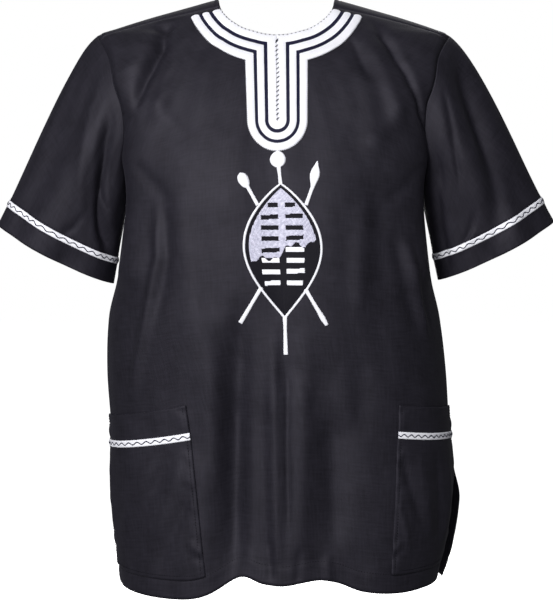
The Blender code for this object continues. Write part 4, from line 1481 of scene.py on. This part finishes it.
@dataclass
class NeckTrim:
    """Three rows of white satin stitch round the neck and the key-hole, parted by navy lines.

    Each half runs along the neck, down beside the slit and round its end, by the shares named so. Its
    outer edge has small teeth, and beside the slit it tapers inwards and leans to the right.
    """

    front: FrontPanel
    half_span: float = 114
    drop: float = 89
    outer_from: float = 77.3
    slit_half: float = 39
    round_from: float = -159
    gap: float = 0.12
    lift: float = 1.15
    neck_share: float = 0.5
    slit_share: float = 0.27
    end_share: float = 0.23
    starts_at: float = 0.034
    corner_round: float = 0.006
    corner_reach: float = 0.05
    corner_slope: float = 3
    satin_height: float = 0.85
    satin_power: int = 3
    tooth: float = 0.8
    tooth_rows: int = 4
    tooth_power: int = 3
    taper: float = 0.045
    lean: float = 1.2
    rows: int = 420
    neck_stops: int = 80
    neck_stitch_at: float = 0.975
    neck_until: float = 0.49
    neck_off: tuple = (0, -1.0, 0.2)
    neck_pitch: float = 5.4
    neck_stitch: float = 2.1
    slit_stops: int = 60
    slit_stitch_at: float = 0.99
    slit_off: tuple = (0, -2.2, 0)
    slit_below: float = 3
    slit_pitch: float = 5.8
    slit_stroke: tuple = (2.3, 0, 2.0)
    slit_wobble: float = 0.6

    def __post_init__(self) -> None:
        """Work out the bands' places and where the slit's end begins."""
        self.end_from = self.neck_share + self.slit_share
        columns = TRIM_BANDS[-1][1]
        self.stops = [0.0] + [column / columns for _, column in TRIM_BANDS]
        self.shares = [0.0] + [share for share, _ in TRIM_BANDS]

    def beside_slit(self, along: Numbers) -> Numbers:
        """Share of the way down beside the slit."""
        return np.clip((along - self.neck_share) / self.slit_share, 0, 1)

    def outline(self, along: Numbers) -> tuple[Numbers, Numbers]:
        """Outer and inner edge of the right half in the front view.

        Args:
            along: Share of the way from the shoulder seam to the key-hole's round end.

        Returns:
            Places (across, up) of the outer edge and of the inner edge.
        """
        corner = math.degrees(math.asin(self.slit_half / self.half_span))
        round_part, straight = np.clip(along / self.neck_share, 0, 1), self.beside_slit(along)
        end = np.radians(90 * np.clip((along - self.end_from) / self.end_share, 0, 1))
        turn = np.radians(self.outer_from + (corner - self.outer_from) * round_part)
        shoulder = -self.drop * math.cos(math.radians(corner))
        outer = np.stack([self.half_span * np.sin(turn), -self.drop * np.cos(turn)])
        outer[1] += (self.round_from - shoulder) * straight - self.slit_half * np.sin(end)
        outer[0] -= self.slit_half * (1 - np.cos(end))
        neck = np.radians(NECK_CORNER * (1 - round_part))
        inner = np.stack([np.maximum(NECK_HALF * np.sin(neck), self.gap), -FRONT_NECK_DROP * np.cos(neck)])
        inner[0] *= np.cos(end)
        inner[1] += (SLIT_END + FRONT_NECK_DROP) * straight
        return outer, inner

    def place(self, hand: int) -> Placer:
        """Placer of one half: across runs from the outer to the inner edge."""
        def placer(across: Numbers, along: Numbers) -> Numbers:
            """Points of the half."""
            share = np.interp(across, self.stops, self.shares)
            teeth = self.tooth * np.sin(2 * np.pi * along * self.rows / self.tooth_rows)
            side = 1 - self.height(share) / self.satin_height
            along = self.starts_at + (1 - self.starts_at) * along
            near_end = np.clip(self.corner_slope * (1 - along / self.corner_reach), 0, 1)
            along += self.corner_round * side * near_end
            outer, inner = self.outline(along)
            width = np.hypot(*(inner - outer))
            x, z = outer + (inner - outer) * (share + teeth / width * (1 - across) ** self.tooth_power)
            lower = self.beside_slit(along)
            x = x * hand * (1 - self.taper * lower) + self.lean * lower
            angle = self.front.trunk.place_angle(x, z)
            return self.front.surface(angle, z, self.lift + self.height(share))
        return placer

    def height(self, share: Numbers) -> Numbers:
        """Height of the satin bands and the sunk lines between them."""
        height = np.zeros_like(share)
        for first, last in zip(self.shares[0::2], self.shares[1::2]):
            within = np.clip((share - first) / (last - first), 0, 1)
            height = np.maximum(height, np.clip(1 - abs(2 * within - 1) ** self.satin_power, 0, 1))
        return self.satin_height * height

    def finish_of(self, across: Numbers, along: Numbers) -> Numbers:
        """Number of the finish of faces: 0 is satin and 1 navy."""
        column = across * TRIM_BANDS[-1][1]
        return sum((column > first) & (column < last) for first, last in NAVY_COLUMNS)

    def build(self) -> bpy.types.Object:
        """Make the trim as one piece."""
        piece = Piece("neck_bands", (Finish.SATIN, Finish.NAVY), "white_thread", wall=0.8)
        for hand in (LEFT, RIGHT):
            piece.lay(TRIM_BANDS[-1][1], self.rows, self.place(hand), self.finish_of)
        return piece.finish()

    def sew(self, stitches: Stitching) -> None:
        """Sew the dark stitches of the neck's edge and the slanted ones across the slit."""
        for hand in (LEFT, RIGHT):
            along = np.linspace(0.0, self.neck_until, self.neck_stops)
            neck = self.place(hand)(np.full(self.neck_stops, self.neck_stitch_at), along)
            stitches.run(neck + self.neck_off, pitch=self.neck_pitch, length=self.neck_stitch)
        along = np.linspace(self.neck_share, self.end_from, self.slit_stops)
        slit = self.place(RIGHT)(np.full(self.slit_stops, self.slit_stitch_at), along) + self.slit_off
        for z in np.arange(-FRONT_NECK_DROP - self.slit_below, SLIT_END, -self.slit_pitch):
            middle = np.array([np.interp(-z, -slit[:, 2], slit[:, axis]) for axis in range(3)])
            middle[0] += self.slit_wobble * math.sin(z)
            stitches.stitch(middle - self.slit_stroke, middle + self.slit_stroke)


@dataclass(frozen=True)
class Braid:
    """Narrow white braid with a dark wavy line along its middle. Ribs cross it, bent at the middle."""

    width: float = 8.5
    height: float = 0.5
    edge_power: int = 5
    lift: float = 1.1
    columns: int = 10
    step: float = 1.1
    rib: float = 0.14
    ribs_per_wave: int = 6
    rib_bend: float = 3
    sunk: float = 0.35
    sunk_share: float = 0.13
    wave: float = 1.5
    period: float = 13.0
    line: float = 1.05
    line_proud: float = 0.15
    line_height: float = 0.35
    line_columns: int = 2
    wall: float = 0.7

    def lay(self, name: str, place: Callable[[Numbers, Numbers, Numbers], Numbers],
            length: float) -> bpy.types.Object:
        """Make a braid along a piece of cloth.

        Args:
            name: Name of the piece.
            place: Turns a distance across the braid, a share along and a lift into points.
            length: Length of the braid.

        Returns:
            The braid with its wavy line.
        """
        waves = round(length / self.period)

        def band(across: Numbers, along: Numbers) -> Numbers:
            """Points of the braid's face."""
            bend = self.rib_bend * abs(across - 0.5)
            ribs = self.rib * np.sin(2 * np.pi * along * waves * self.ribs_per_wave + bend)
            crown = self.height * (1 - abs(2 * across - 1) ** self.edge_power)
            crown = crown - self.sunk * bell(across - 0.5, self.sunk_share)
            return place((across - 0.5) * self.width, along, self.lift + crown + ribs)

        def line(across: Numbers, along: Numbers) -> Numbers:
            """Points of the wavy line."""
            middle = self.wave * np.sin(2 * np.pi * along * waves)
            crown = self.line_height * (1 - (2 * across - 1) ** 2)
            away = middle + (across - 0.5) * self.line
            return place(away, along, self.lift + self.height + self.line_proud + crown)

        piece = Piece(name, (Finish.BRAID, Finish.NAVY), "white_thread", wall=self.wall)
        rows = int(length / self.step)
        piece.lay(self.columns, rows, band)
        piece.lay(self.line_columns, rows, line, lambda across, along: np.ones_like(across))
        return piece.finish()


@dataclass
class SleevePiece:
    """Visible cloth, braid and stitches of one sleeve. The girth is the cuff's, for its puckers."""

    sleeve: Sleeve
    side: str
    columns: int = 208
    rows: int = 84
    girth: float = 460
    braid_length: float = 440
    stitch_stops: int = 240
    stitch_off: float = 6.5
    thread_proud: float = 0.25

    def from_cuff(self, index: Numbers, distance: Numbers) -> Numbers:
        """Share along the sleeve at a distance above the cuff's edge."""
        run = self.sleeve.cuff(index) - self.sleeve.at_ring(self.sleeve.edge, index)
        return 1 - distance / np.linalg.norm(run, axis=-1)

    def build(self) -> bpy.types.Object:
        """Make the sleeve's tube."""
        def placer(across: Numbers, along: Numbers) -> Numbers:
            """Points of the tube."""
            index = (across - 0.5) * ARMHOLE_STOPS
            to_edge = (1 - along) / (1 - self.from_cuff(index, 1.0))
            lift = CUFF_EDGE.relief(to_edge, across * self.girth)
            return self.sleeve.point(index, along, lift)

        piece = Piece(f"sleeve_cloth_{self.side}", (Finish.LINEN,), "black_cloth")
        piece.lay(self.columns, self.rows, placer)
        return piece.finish()

    def build_braid(self) -> bpy.types.Object:
        """Make the braid above the cuff's hem."""
        def place(away: Numbers, along: Numbers, lift: Numbers) -> Numbers:
            """Points round the sleeve."""
            index = (along - 0.5) * ARMHOLE_STOPS
            return self.sleeve.point(index, self.from_cuff(index, CUFF_HEM + away), lift)
        return Braid().lay(f"cuff_braid_{self.side}", place, self.braid_length)

    def sew(self, stitches: Stitching) -> None:
        """Sew the cuff's hem below and above the braid."""
        index = np.linspace(-ARMHOLE_STOPS / 2, ARMHOLE_STOPS / 2, self.stitch_stops)
        for distance in (CUFF_HEM - self.stitch_off, CUFF_HEM + self.stitch_off):
            share = self.from_cuff(index, distance)
            stitches.run(self.sleeve.point(index, share, CLOTH_WALL / 2 + self.thread_proud))


# Creases of each pocket by distance from its inner edge and down from its top
POCKET_CREASES = {
    LEFT: (
        Crease(((24, 50), (56, 96), (78, 132), (104, 176)), 11, -3.2, 0.2),
        Crease(((2, 92), (22, 124), (44, 156), (64, 190)), 8, -2.4, 0.2),
        Crease(((40, 48), (76, 96), (108, 140)), 10, 2.2),
        Crease(((12, 60), (36, 108), (60, 150)), 8, 2.0),
        Crease(((130, 50), (134, 110), (126, 170)), 10, 2.2),
        Crease(((4, 148), (22, 168), (34, 192)), 6, 1.6),
    ),
    RIGHT: (
        Crease(((4, 60), (24, 104), (46, 150)), 8, -2.2, 0.2),
        Crease(((34, 48), (50, 104), (66, 170)), 10, 2.4),
        Crease(((72, 50), (80, 110), (90, 180)), 10, -2.4, -0.2),
        Crease(((2, 118), (18, 146), (30, 182)), 6, 1.8),
        Crease(((102, 60), (108, 120), (104, 180)), 9, 2.0),
    ),
}


@dataclass
class PocketPiece:
    """Visible cloth, braid and stitches of one pocket.

    Its edges are sunk, with a groove and puckers along the seam, and creases begin below the top band.
    """

    pocket: Pocket
    side: str
    columns: int = 84
    rows: int = 84
    width: float = 150
    edge_sunk: float = 0.8
    edge_width: float = 2.0
    seam_inset: float = 5
    seam_sunk: float = 0.5
    seam_width: float = 1.4
    pucker: float = 1.3
    pucker_place: float = 6
    pucker_reach: float = 11
    puckers_down: int = 21
    puckers_skew: int = 9
    puckers_across: int = 4
    noise_seed: int = 81
    creases_below: float = 6
    creases_fade: float = 12
    edge_fade: float = 8
    side_stops: int = 120
    side_from: float = 0.01
    side_until: float = 0.985
    bottom_stops: int = 100
    bottom_at: float = 0.975

    def build(self) -> bpy.types.Object:
        """Make the pocket's patch with its turned top band."""
        def placer(across: Numbers, down: Numbers) -> Numbers:
            """Points of the patch."""
            from_inner, from_top = across * self.width, down * self.pocket.height
            band = POCKET_TOP.relief(from_top, from_inner)
            edge = np.minimum(across, 1 - across) * self.width
            sunk = self.edge_sunk * bell(edge, self.edge_width)
            sunk += self.seam_sunk * bell(edge - self.seam_inset, self.seam_width)
            place = down * self.puckers_down + across * self.puckers_skew, across * self.puckers_across
            pulled = self.pucker * soft_noise(*place, self.noise_seed)
            pulled *= bell(edge - self.pucker_place, self.pucker_reach)
            folds = sum(crease.lift(from_inner, from_top, np.array(crease.line))
                        for crease in POCKET_CREASES[self.pocket.hand])
            below = smooth_step((from_top - POCKET_TOP.depth - self.creases_below) / self.creases_fade)
            folds *= below * smooth_step(edge / self.edge_fade)
            return self.pocket.point(across, down, band - sunk + pulled + folds)

        piece = Piece(f"pocket_cloth_{self.side}", (Finish.LINEN,), "black_cloth")
        piece.lay(self.columns, self.rows, placer)
        return piece.finish()

    def build_braid(self) -> bpy.types.Object:
        """Make the braid below the pocket's top."""
        def place(away: Numbers, along: Numbers, lift: Numbers) -> Numbers:
            """Points across the pocket."""
            down = (POCKET_TOP.depth + away) / self.pocket.height
            return self.pocket.point(along, down, lift)
        return Braid().lay(f"pocket_braid_{self.side}", place, self.width)

    def sew(self, stitches: Stitching) -> None:
        """Sew the pocket down along its sides and its bottom."""
        lift, inset = CLOTH_WALL / 2 + THREAD_PROUD, self.seam_inset / self.width
        down = np.linspace(self.side_from, self.side_until, self.side_stops)
        for across in (inset, 1 - inset):
            stitches.run(self.pocket.point(np.full(self.side_stops, across), down, lift))
        across = np.linspace(inset, 1 - inset, self.bottom_stops)
        stitches.run(self.pocket.point(across, np.full(self.bottom_stops, self.bottom_at), lift))


@dataclass(frozen=True)
class Bar:
    """Straight stitched shape in the front view, such as a shaft, a knob or a blade."""

    start: tuple[float, float]
    end: tuple[float, float]
    widths: tuple[float, ...]

    def half_width(self, along: Numbers) -> Numbers:
        """Half width at a share along."""
        return np.interp(along, np.linspace(0, 1, len(self.widths)), self.widths)


KNOB_STEPS = 12


def knob(half: float, bulge: float) -> tuple[float, ...]:
    """Half widths of a round shape, its largest width pushed along by bulge."""
    shares = (step / KNOB_STEPS for step in range(KNOB_STEPS + 1))
    return tuple(half * math.sin(math.pi * share ** bulge) ** 0.5 for share in shares)


# Shafts, knobs and blade, from the stave above the shield to its foot
EMBLEM_BARS = (
    Bar((1.8, -198), (1.6, -219), knob(9.8, 1.05)),
    Bar((2.6, -216), (5.2, -240), (2.6, 1.9, 2.3)),
    Bar((-45, -226), (-35.5, -244), knob(6.6, 0.85)),
    Bar((-37, -240), (-23, -265), (2.4, 2.0, 2.3)),
    Bar((50.5, -211), (44, -245), (0.4, 2.6, 5.2, 6.0, 5.0, 3.2, 1.8)),
    Bar((45, -241), (36.3, -265), (2.2, 2.0, 2.3)),
    Bar((-18.5, -366), (-45, -411), (2.5, 2.1, 2.4, 2.7)),
    Bar((35.6, -368), (62, -413), (2.5, 2.1, 2.2, 2.4, 3.3, 2.1)),
    Bar((10.4, -403), (11.6, -450), (2.7, 2.0, 2.4, 2.7)),
)


@dataclass
class Emblem:
    """Embroidered shield of a traditional kind before crossed shafts, in a layout made for this shirt.

    The shield's outline is a sine to a power, with the foot's power added bit by bit towards the foot.
    Its hide is pale above a wavy edge, and rows of bars cross it, each tilted a little differently.
    """

    front: FrontPanel
    apex: tuple = (5.2, -237.8)
    foot: tuple = (10.4, -406.5)
    half: float = 49.0
    turn_power: float = 0.9
    apex_power: float = 0.92
    foot_power: float = 0.1
    outline: float = 2.7
    outline_flare: float = 0.45
    outline_columns: int = 5
    outline_rows: int = 170
    rim: float = 4.4
    rim_flare: float = 0.5
    hide_height: float = -322
    hide_slope: float = 0.42
    hide_waves: tuple = ((5, 6.5), (2.5, 2.3))
    rows: int = 8
    pitch: float = 13.6
    first_row: float = -265.0
    bar_half: float = 2.8
    bar_from: float = 4.2
    bar_to: float = 26.0
    bar_inset: float = 3.5
    bar_tilt: float = 0.02
    bar_sway: float = 0.04
    bar_sway_step: float = 2.3
    lift: float = 0.95
    field_columns: int = 104
    field_rows: int = 176
    ground: float = 0.1
    raised: float = 0.55
    crown: float = 0.9
    crown_power: int = 4
    strip_columns: int = 8
    strip_step: float = 1.2
    strip_rows: int = 12
    wall: float = 0.6

    def half_width(self, down: Numbers) -> Numbers:
        """Half width of the shield at a share down."""
        turn = np.pi * np.clip(down, 0, 1) ** self.turn_power
        return self.half * np.maximum(np.sin(turn), 0) ** (self.apex_power + self.foot_power * down)

    def crowned(self, across: Numbers) -> Numbers:
        """Height of a rounded row of stitches at a share across it."""
        return self.crown * (1 - (2 * across - 1) ** self.crown_power)

    def centre(self, down: Numbers) -> tuple[Numbers, Numbers]:
        """Middle of the shield at a share down."""
        return (self.apex[0] + (self.foot[0] - self.apex[0]) * down,
                self.apex[1] + (self.foot[1] - self.apex[1]) * down)

    def laid(self, x: Numbers, z: Numbers, height: Numbers) -> Numbers:
        """Points on the front at places of the front view."""
        return self.front.surface(self.front.trunk.place_angle(x, z), z, self.lift + height)

    def thread_at(self, across: Numbers, down: Numbers) -> Numbers:
        """Thread of places of the field.

        Args:
            across: Share from the left to the right edge.
            down: Share from the apex to the foot.

        Returns:
            0 where the thread is black, 1 where it is the mottled hide and 2 in a white bar.
        """
        half = self.half_width(down)
        away = (2 * across - 1) * half
        z = self.centre(down)[1]
        rim = self.outline + self.rim * (1 + self.rim_flare * abs(2 * down - 1))
        inside = abs(away) < half - rim
        hide_edge = self.hide_height + self.hide_slope * away
        for height, length in self.hide_waves:
            hide_edge = hide_edge + height * np.sin(away / length)
        light = z > hide_edge
        row = np.clip(np.round((self.first_row - z) / self.pitch), 0, self.rows - 1)
        slope = self.bar_tilt + self.bar_sway * np.sin(self.bar_sway_step * row + np.sign(away))
        in_row = abs(z - self.first_row + row * self.pitch - slope * away) < self.bar_half
        row_down = (self.apex[1] - self.first_row + row * self.pitch) / (self.apex[1] - self.foot[1])
        reach = np.minimum(self.bar_to, self.half_width(row_down) - rim - self.bar_inset)
        barred = in_row & (abs(away) > self.bar_from) & (abs(away) < reach)
        return inside * ((light & ~barred) + 2 * (barred & ~light))

    def build_field(self) -> bpy.types.Object:
        """Make the shield's field of white and black stitches."""
        def placer(across: Numbers, down: Numbers) -> Numbers:
            """Points of the field."""
            x, z = self.centre(down)
            height = np.where(self.thread_at(across, down) > 0, self.raised, self.ground)
            return self.laid(x + (2 * across - 1) * self.half_width(down), z, height)

        threads = Finish.THREAD, Finish.HIDE, Finish.SATIN
        piece = Piece("emblem_field", threads, "white_thread", wall=self.wall)
        piece.lay(self.field_columns, self.field_rows, placer, self.thread_at)
        return piece.finish()

    def build_lines(self) -> bpy.types.Object:
        """Make the shield's outline and the shafts, knobs and blade."""
        piece = Piece("emblem_lines", (Finish.SATIN,), "white_thread", wall=self.wall)
        for hand in (LEFT, RIGHT):
            def outline(across: Numbers, down: Numbers) -> Numbers:
                """Points of one side of the outline."""
                x, z = self.centre(down)
                edge = (1 - across) * self.outline * (1 + self.outline_flare * abs(2 * down - 1))
                out = np.maximum(self.half_width(down) - edge, 0)
                return self.laid(x + hand * out, z, self.crowned(across))
            piece.lay(self.outline_columns, self.outline_rows, outline)
        for bar in EMBLEM_BARS:
            start, run = np.array(bar.start, float), np.subtract(bar.end, bar.start)
            side = np.array((run[1], -run[0])) / np.hypot(*run)

            def strip(across: Numbers, along: Numbers) -> Numbers:
                """Points of a straight shape."""
                out = bar.half_width(along) * (2 * across - 1)
                x, z = (start[axis] + run[axis] * along + side[axis] * out for axis in (0, 1))
                return self.laid(x, z, self.crowned(across))
            rows = max(int(np.hypot(*run) / self.strip_step), self.strip_rows)
            piece.lay(self.strip_columns, rows, strip)
        return piece.finish()


@dataclass(frozen=True)
class Lamp:
    """Soft square lamp: its place and size in metres and its power in watts."""

    name: str
    place: tuple
    size: float
    power: float


LAMPS = (
    Lamp("key", (-1.25, -2.8, 0.75), 1.2, 108),
    Lamp("fill", (-0.1, -3.3, 0.1), 1.0, 32),
    Lamp("rim", (0.3, 1.9, 1.6), 1.8, 16),
    Lamp("back", (0.0, 3.2, 0.1), 1.3, 60),
)


@dataclass(frozen=True)
class Studio:
    """Camera at the photo's angle, soft lamps, a white surround and a pale floor. Places are in metres."""

    camera_place: tuple = (0.0, -2.6, -0.230)
    camera_aim: tuple = (0.0, 0.0, -0.391)
    lens: float = 119.18
    sensor: float = 36
    sight: float = 100
    lamp_aim: tuple = (0, 0, -0.35)
    surround: float = 0.12
    surround_tint: tuple = (0.96, 0.97, 1, 1)
    white: tuple = (1, 1, 1, 1)
    floor_height: float = -1.3
    floor_half: float = 12
    floor_tone: tuple = (0.9, 0.9, 0.9, 1)
    floor_roughness: float = 0.9

    def aim(self, thing: bpy.types.Object, place: tuple, target: tuple) -> None:
        """Put a camera or light at a place, turned to a target."""
        thing.location = place
        thing.rotation_euler = (Vector(target) - Vector(place)).to_track_quat("-Z", "Y").to_euler()
        bpy.context.scene.collection.objects.link(thing)

    def build(self) -> None:
        """Make the whole studio."""
        scene = bpy.context.scene
        scene.view_settings.view_transform = "Standard"
        lens = bpy.data.cameras.new("camera")
        lens.lens, lens.sensor_width, lens.clip_end = self.lens, self.sensor, self.sight
        camera = bpy.data.objects.new("camera", lens)
        self.aim(camera, self.camera_place, self.camera_aim)
        scene.camera = camera
        for lamp in LAMPS:
            self.light(lamp)
        self.make_surround()
        self.make_floor()

    def light(self, lamp: Lamp) -> None:
        """Add a lamp that faces the shirt."""
        light = bpy.data.lights.new(lamp.name, "AREA")
        light.shape, light.size, light.energy = "SQUARE", lamp.size, lamp.power
        self.aim(bpy.data.objects.new(lamp.name, light), lamp.place, self.lamp_aim)

    def make_surround(self) -> None:
        """White surround that lights the shirt less than it shows."""
        world = bpy.data.worlds.new("surround")
        world.use_nodes = True
        bpy.context.scene.world = world
        nodes, links = world.node_tree.nodes, world.node_tree.links
        shown = nodes["Background"]
        shown.inputs["Color"].default_value = self.white
        dim = nodes.new("ShaderNodeBackground")
        dim.inputs["Strength"].default_value = self.surround
        dim.inputs["Color"].default_value = self.surround_tint
        mix, path = nodes.new("ShaderNodeMixShader"), nodes.new("ShaderNodeLightPath")
        links.new(path.outputs["Is Camera Ray"], mix.inputs[0])
        links.new(dim.outputs[0], mix.inputs[1])
        links.new(shown.outputs[0], mix.inputs[2])
        links.new(mix.outputs[0], nodes["World Output"].inputs["Surface"])

    def make_floor(self) -> None:
        """Plain pale floor well below the shirt."""
        shape = bmesh.new()
        bmesh.ops.create_grid(shape, x_segments=1, y_segments=1, size=self.floor_half,
                              matrix=Matrix.Translation((0, 0, self.floor_height)))
        mesh = bpy.data.meshes.new("floor")
        shape.to_mesh(mesh)
        shape.free()
        look = Shading("pale_floor")
        look.set(Base_Color=self.floor_tone, Roughness=self.floor_roughness, Emission_Color=self.white,
                 Emission_Strength=1.0)
        mesh.materials.append(look.material)
        floor = bpy.data.objects.new("floor", mesh)
        floor.visible_diffuse = floor.visible_glossy = False
        bpy.context.scene.collection.objects.link(floor)
        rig.stage(floor)


@dataclass(frozen=True)
class Cut:
    """Flat size of one cloth piece before it was sewn, in metres, and the area of its outline."""

    width: float
    length: float
    area: float


CUTS = {
    "front": Cut(0.657, 0.809, 0.4096),
    "back": Cut(0.611, 0.886, 0.4128),
    "sleeve_left": Cut(0.556, 0.281, 0.0960),
    "sleeve_right": Cut(0.554, 0.280, 0.0945),
    "pocket_left": Cut(0.176, 0.220, 0.0361),
    "pocket_right": Cut(0.138, 0.216, 0.0277),
}


@dataclass
class Cloth:
    """One visible sheet of cloth, with its node, the nodes it is sewn to and what is sewn on it."""

    node: str
    made: bpy.types.Object
    rests_on: tuple[str, ...]

    def __post_init__(self) -> None:
        """Stand the sheet in for its node."""
        self.stitches = Stitching(f"stitches_{self.node}", Finish.THREAD, "black_cloth")
        self.pieces: list[bpy.types.Object] = []
        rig.replaces(self.made, self.node)

    def add(self, *pieces: bpy.types.Object) -> None:
        """Note pieces that are sewn on the sheet."""
        self.pieces.extend(pieces)

    def declare(self) -> None:
        self.pieces.append(self.stitches.build())
        cut = CUTS[self.node]
        area = sum(face.area for face in self.made.data.polygons)
        log.info("%s: %.4f square metres, cut to %.4f", self.node, area, cut.area)
        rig.sheet(self.made, flat=(cut.width, cut.length), held="hung", rests_on=self.rests_on,
                 area=cut.area, with_pieces=self.pieces)


def main() -> None:
    """Build the studio, the finishes and the shirt's pieces."""
    logging.basicConfig(level=logging.INFO, format="%(name)s: %(message)s")
    Studio().build()
    Linen().build()
    for finish in FINISHES:
        finish.build()
    trunk = Trunk()
    front, back = FrontPanel(trunk), BackPanel(trunk)
    front_piece, back_piece = PanelPiece(front, "front_cloth"), PanelPiece(back, "back_cloth")
    front_cloth = Cloth("front", front_piece.build(), ("back", "sleeve_left", "sleeve_right"))
    back_cloth = Cloth("back", back_piece.build(), ("front", "sleeve_left", "sleeve_right"))
    front_piece.sew(front_cloth.stitches)
    back_piece.sew(back_cloth.stitches)
    trim, emblem = NeckTrim(front), Emblem(front)
    bands = trim.build()
    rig.replaces(bands, "neck_trim")
    edging = Stitching("edge_stitches", Finish.NAVY, "white_thread", radius=0.55)
    trim.sew(edging)
    front_cloth.add(bands, edging.build(), emblem.build_field(), emblem.build_lines())
    cloths = [front_cloth, back_cloth]
    for side, hand in (("left", LEFT), ("right", RIGHT)):
        sleeve = SleevePiece(Sleeve(hand, front, back), side)
        pocket = PocketPiece(Pocket(hand, front), side)
        sewn = ("sleeve", sleeve, ("front", "back")), ("pocket", pocket, ("front",))
        for kind, piece, sewn_to in sewn:
            cloth, braid = Cloth(f"{kind}_{side}", piece.build(), sewn_to), piece.build_braid()
            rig.replaces(braid, f"braid_{kind}_{side}")
            cloth.add(braid)
            piece.sew(cloth.stitches)
            cloths.append(cloth)
    for cloth in cloths:
        cloth.declare()


if __name__ == "__main__":
    main()
    with open("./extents.json", "w", encoding="utf-8") as sizes:
        json.dump({"cad": [list(corner) for corner in CAD_BOX],
                   "visual": [list(corner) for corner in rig.bounds()]}, sizes)
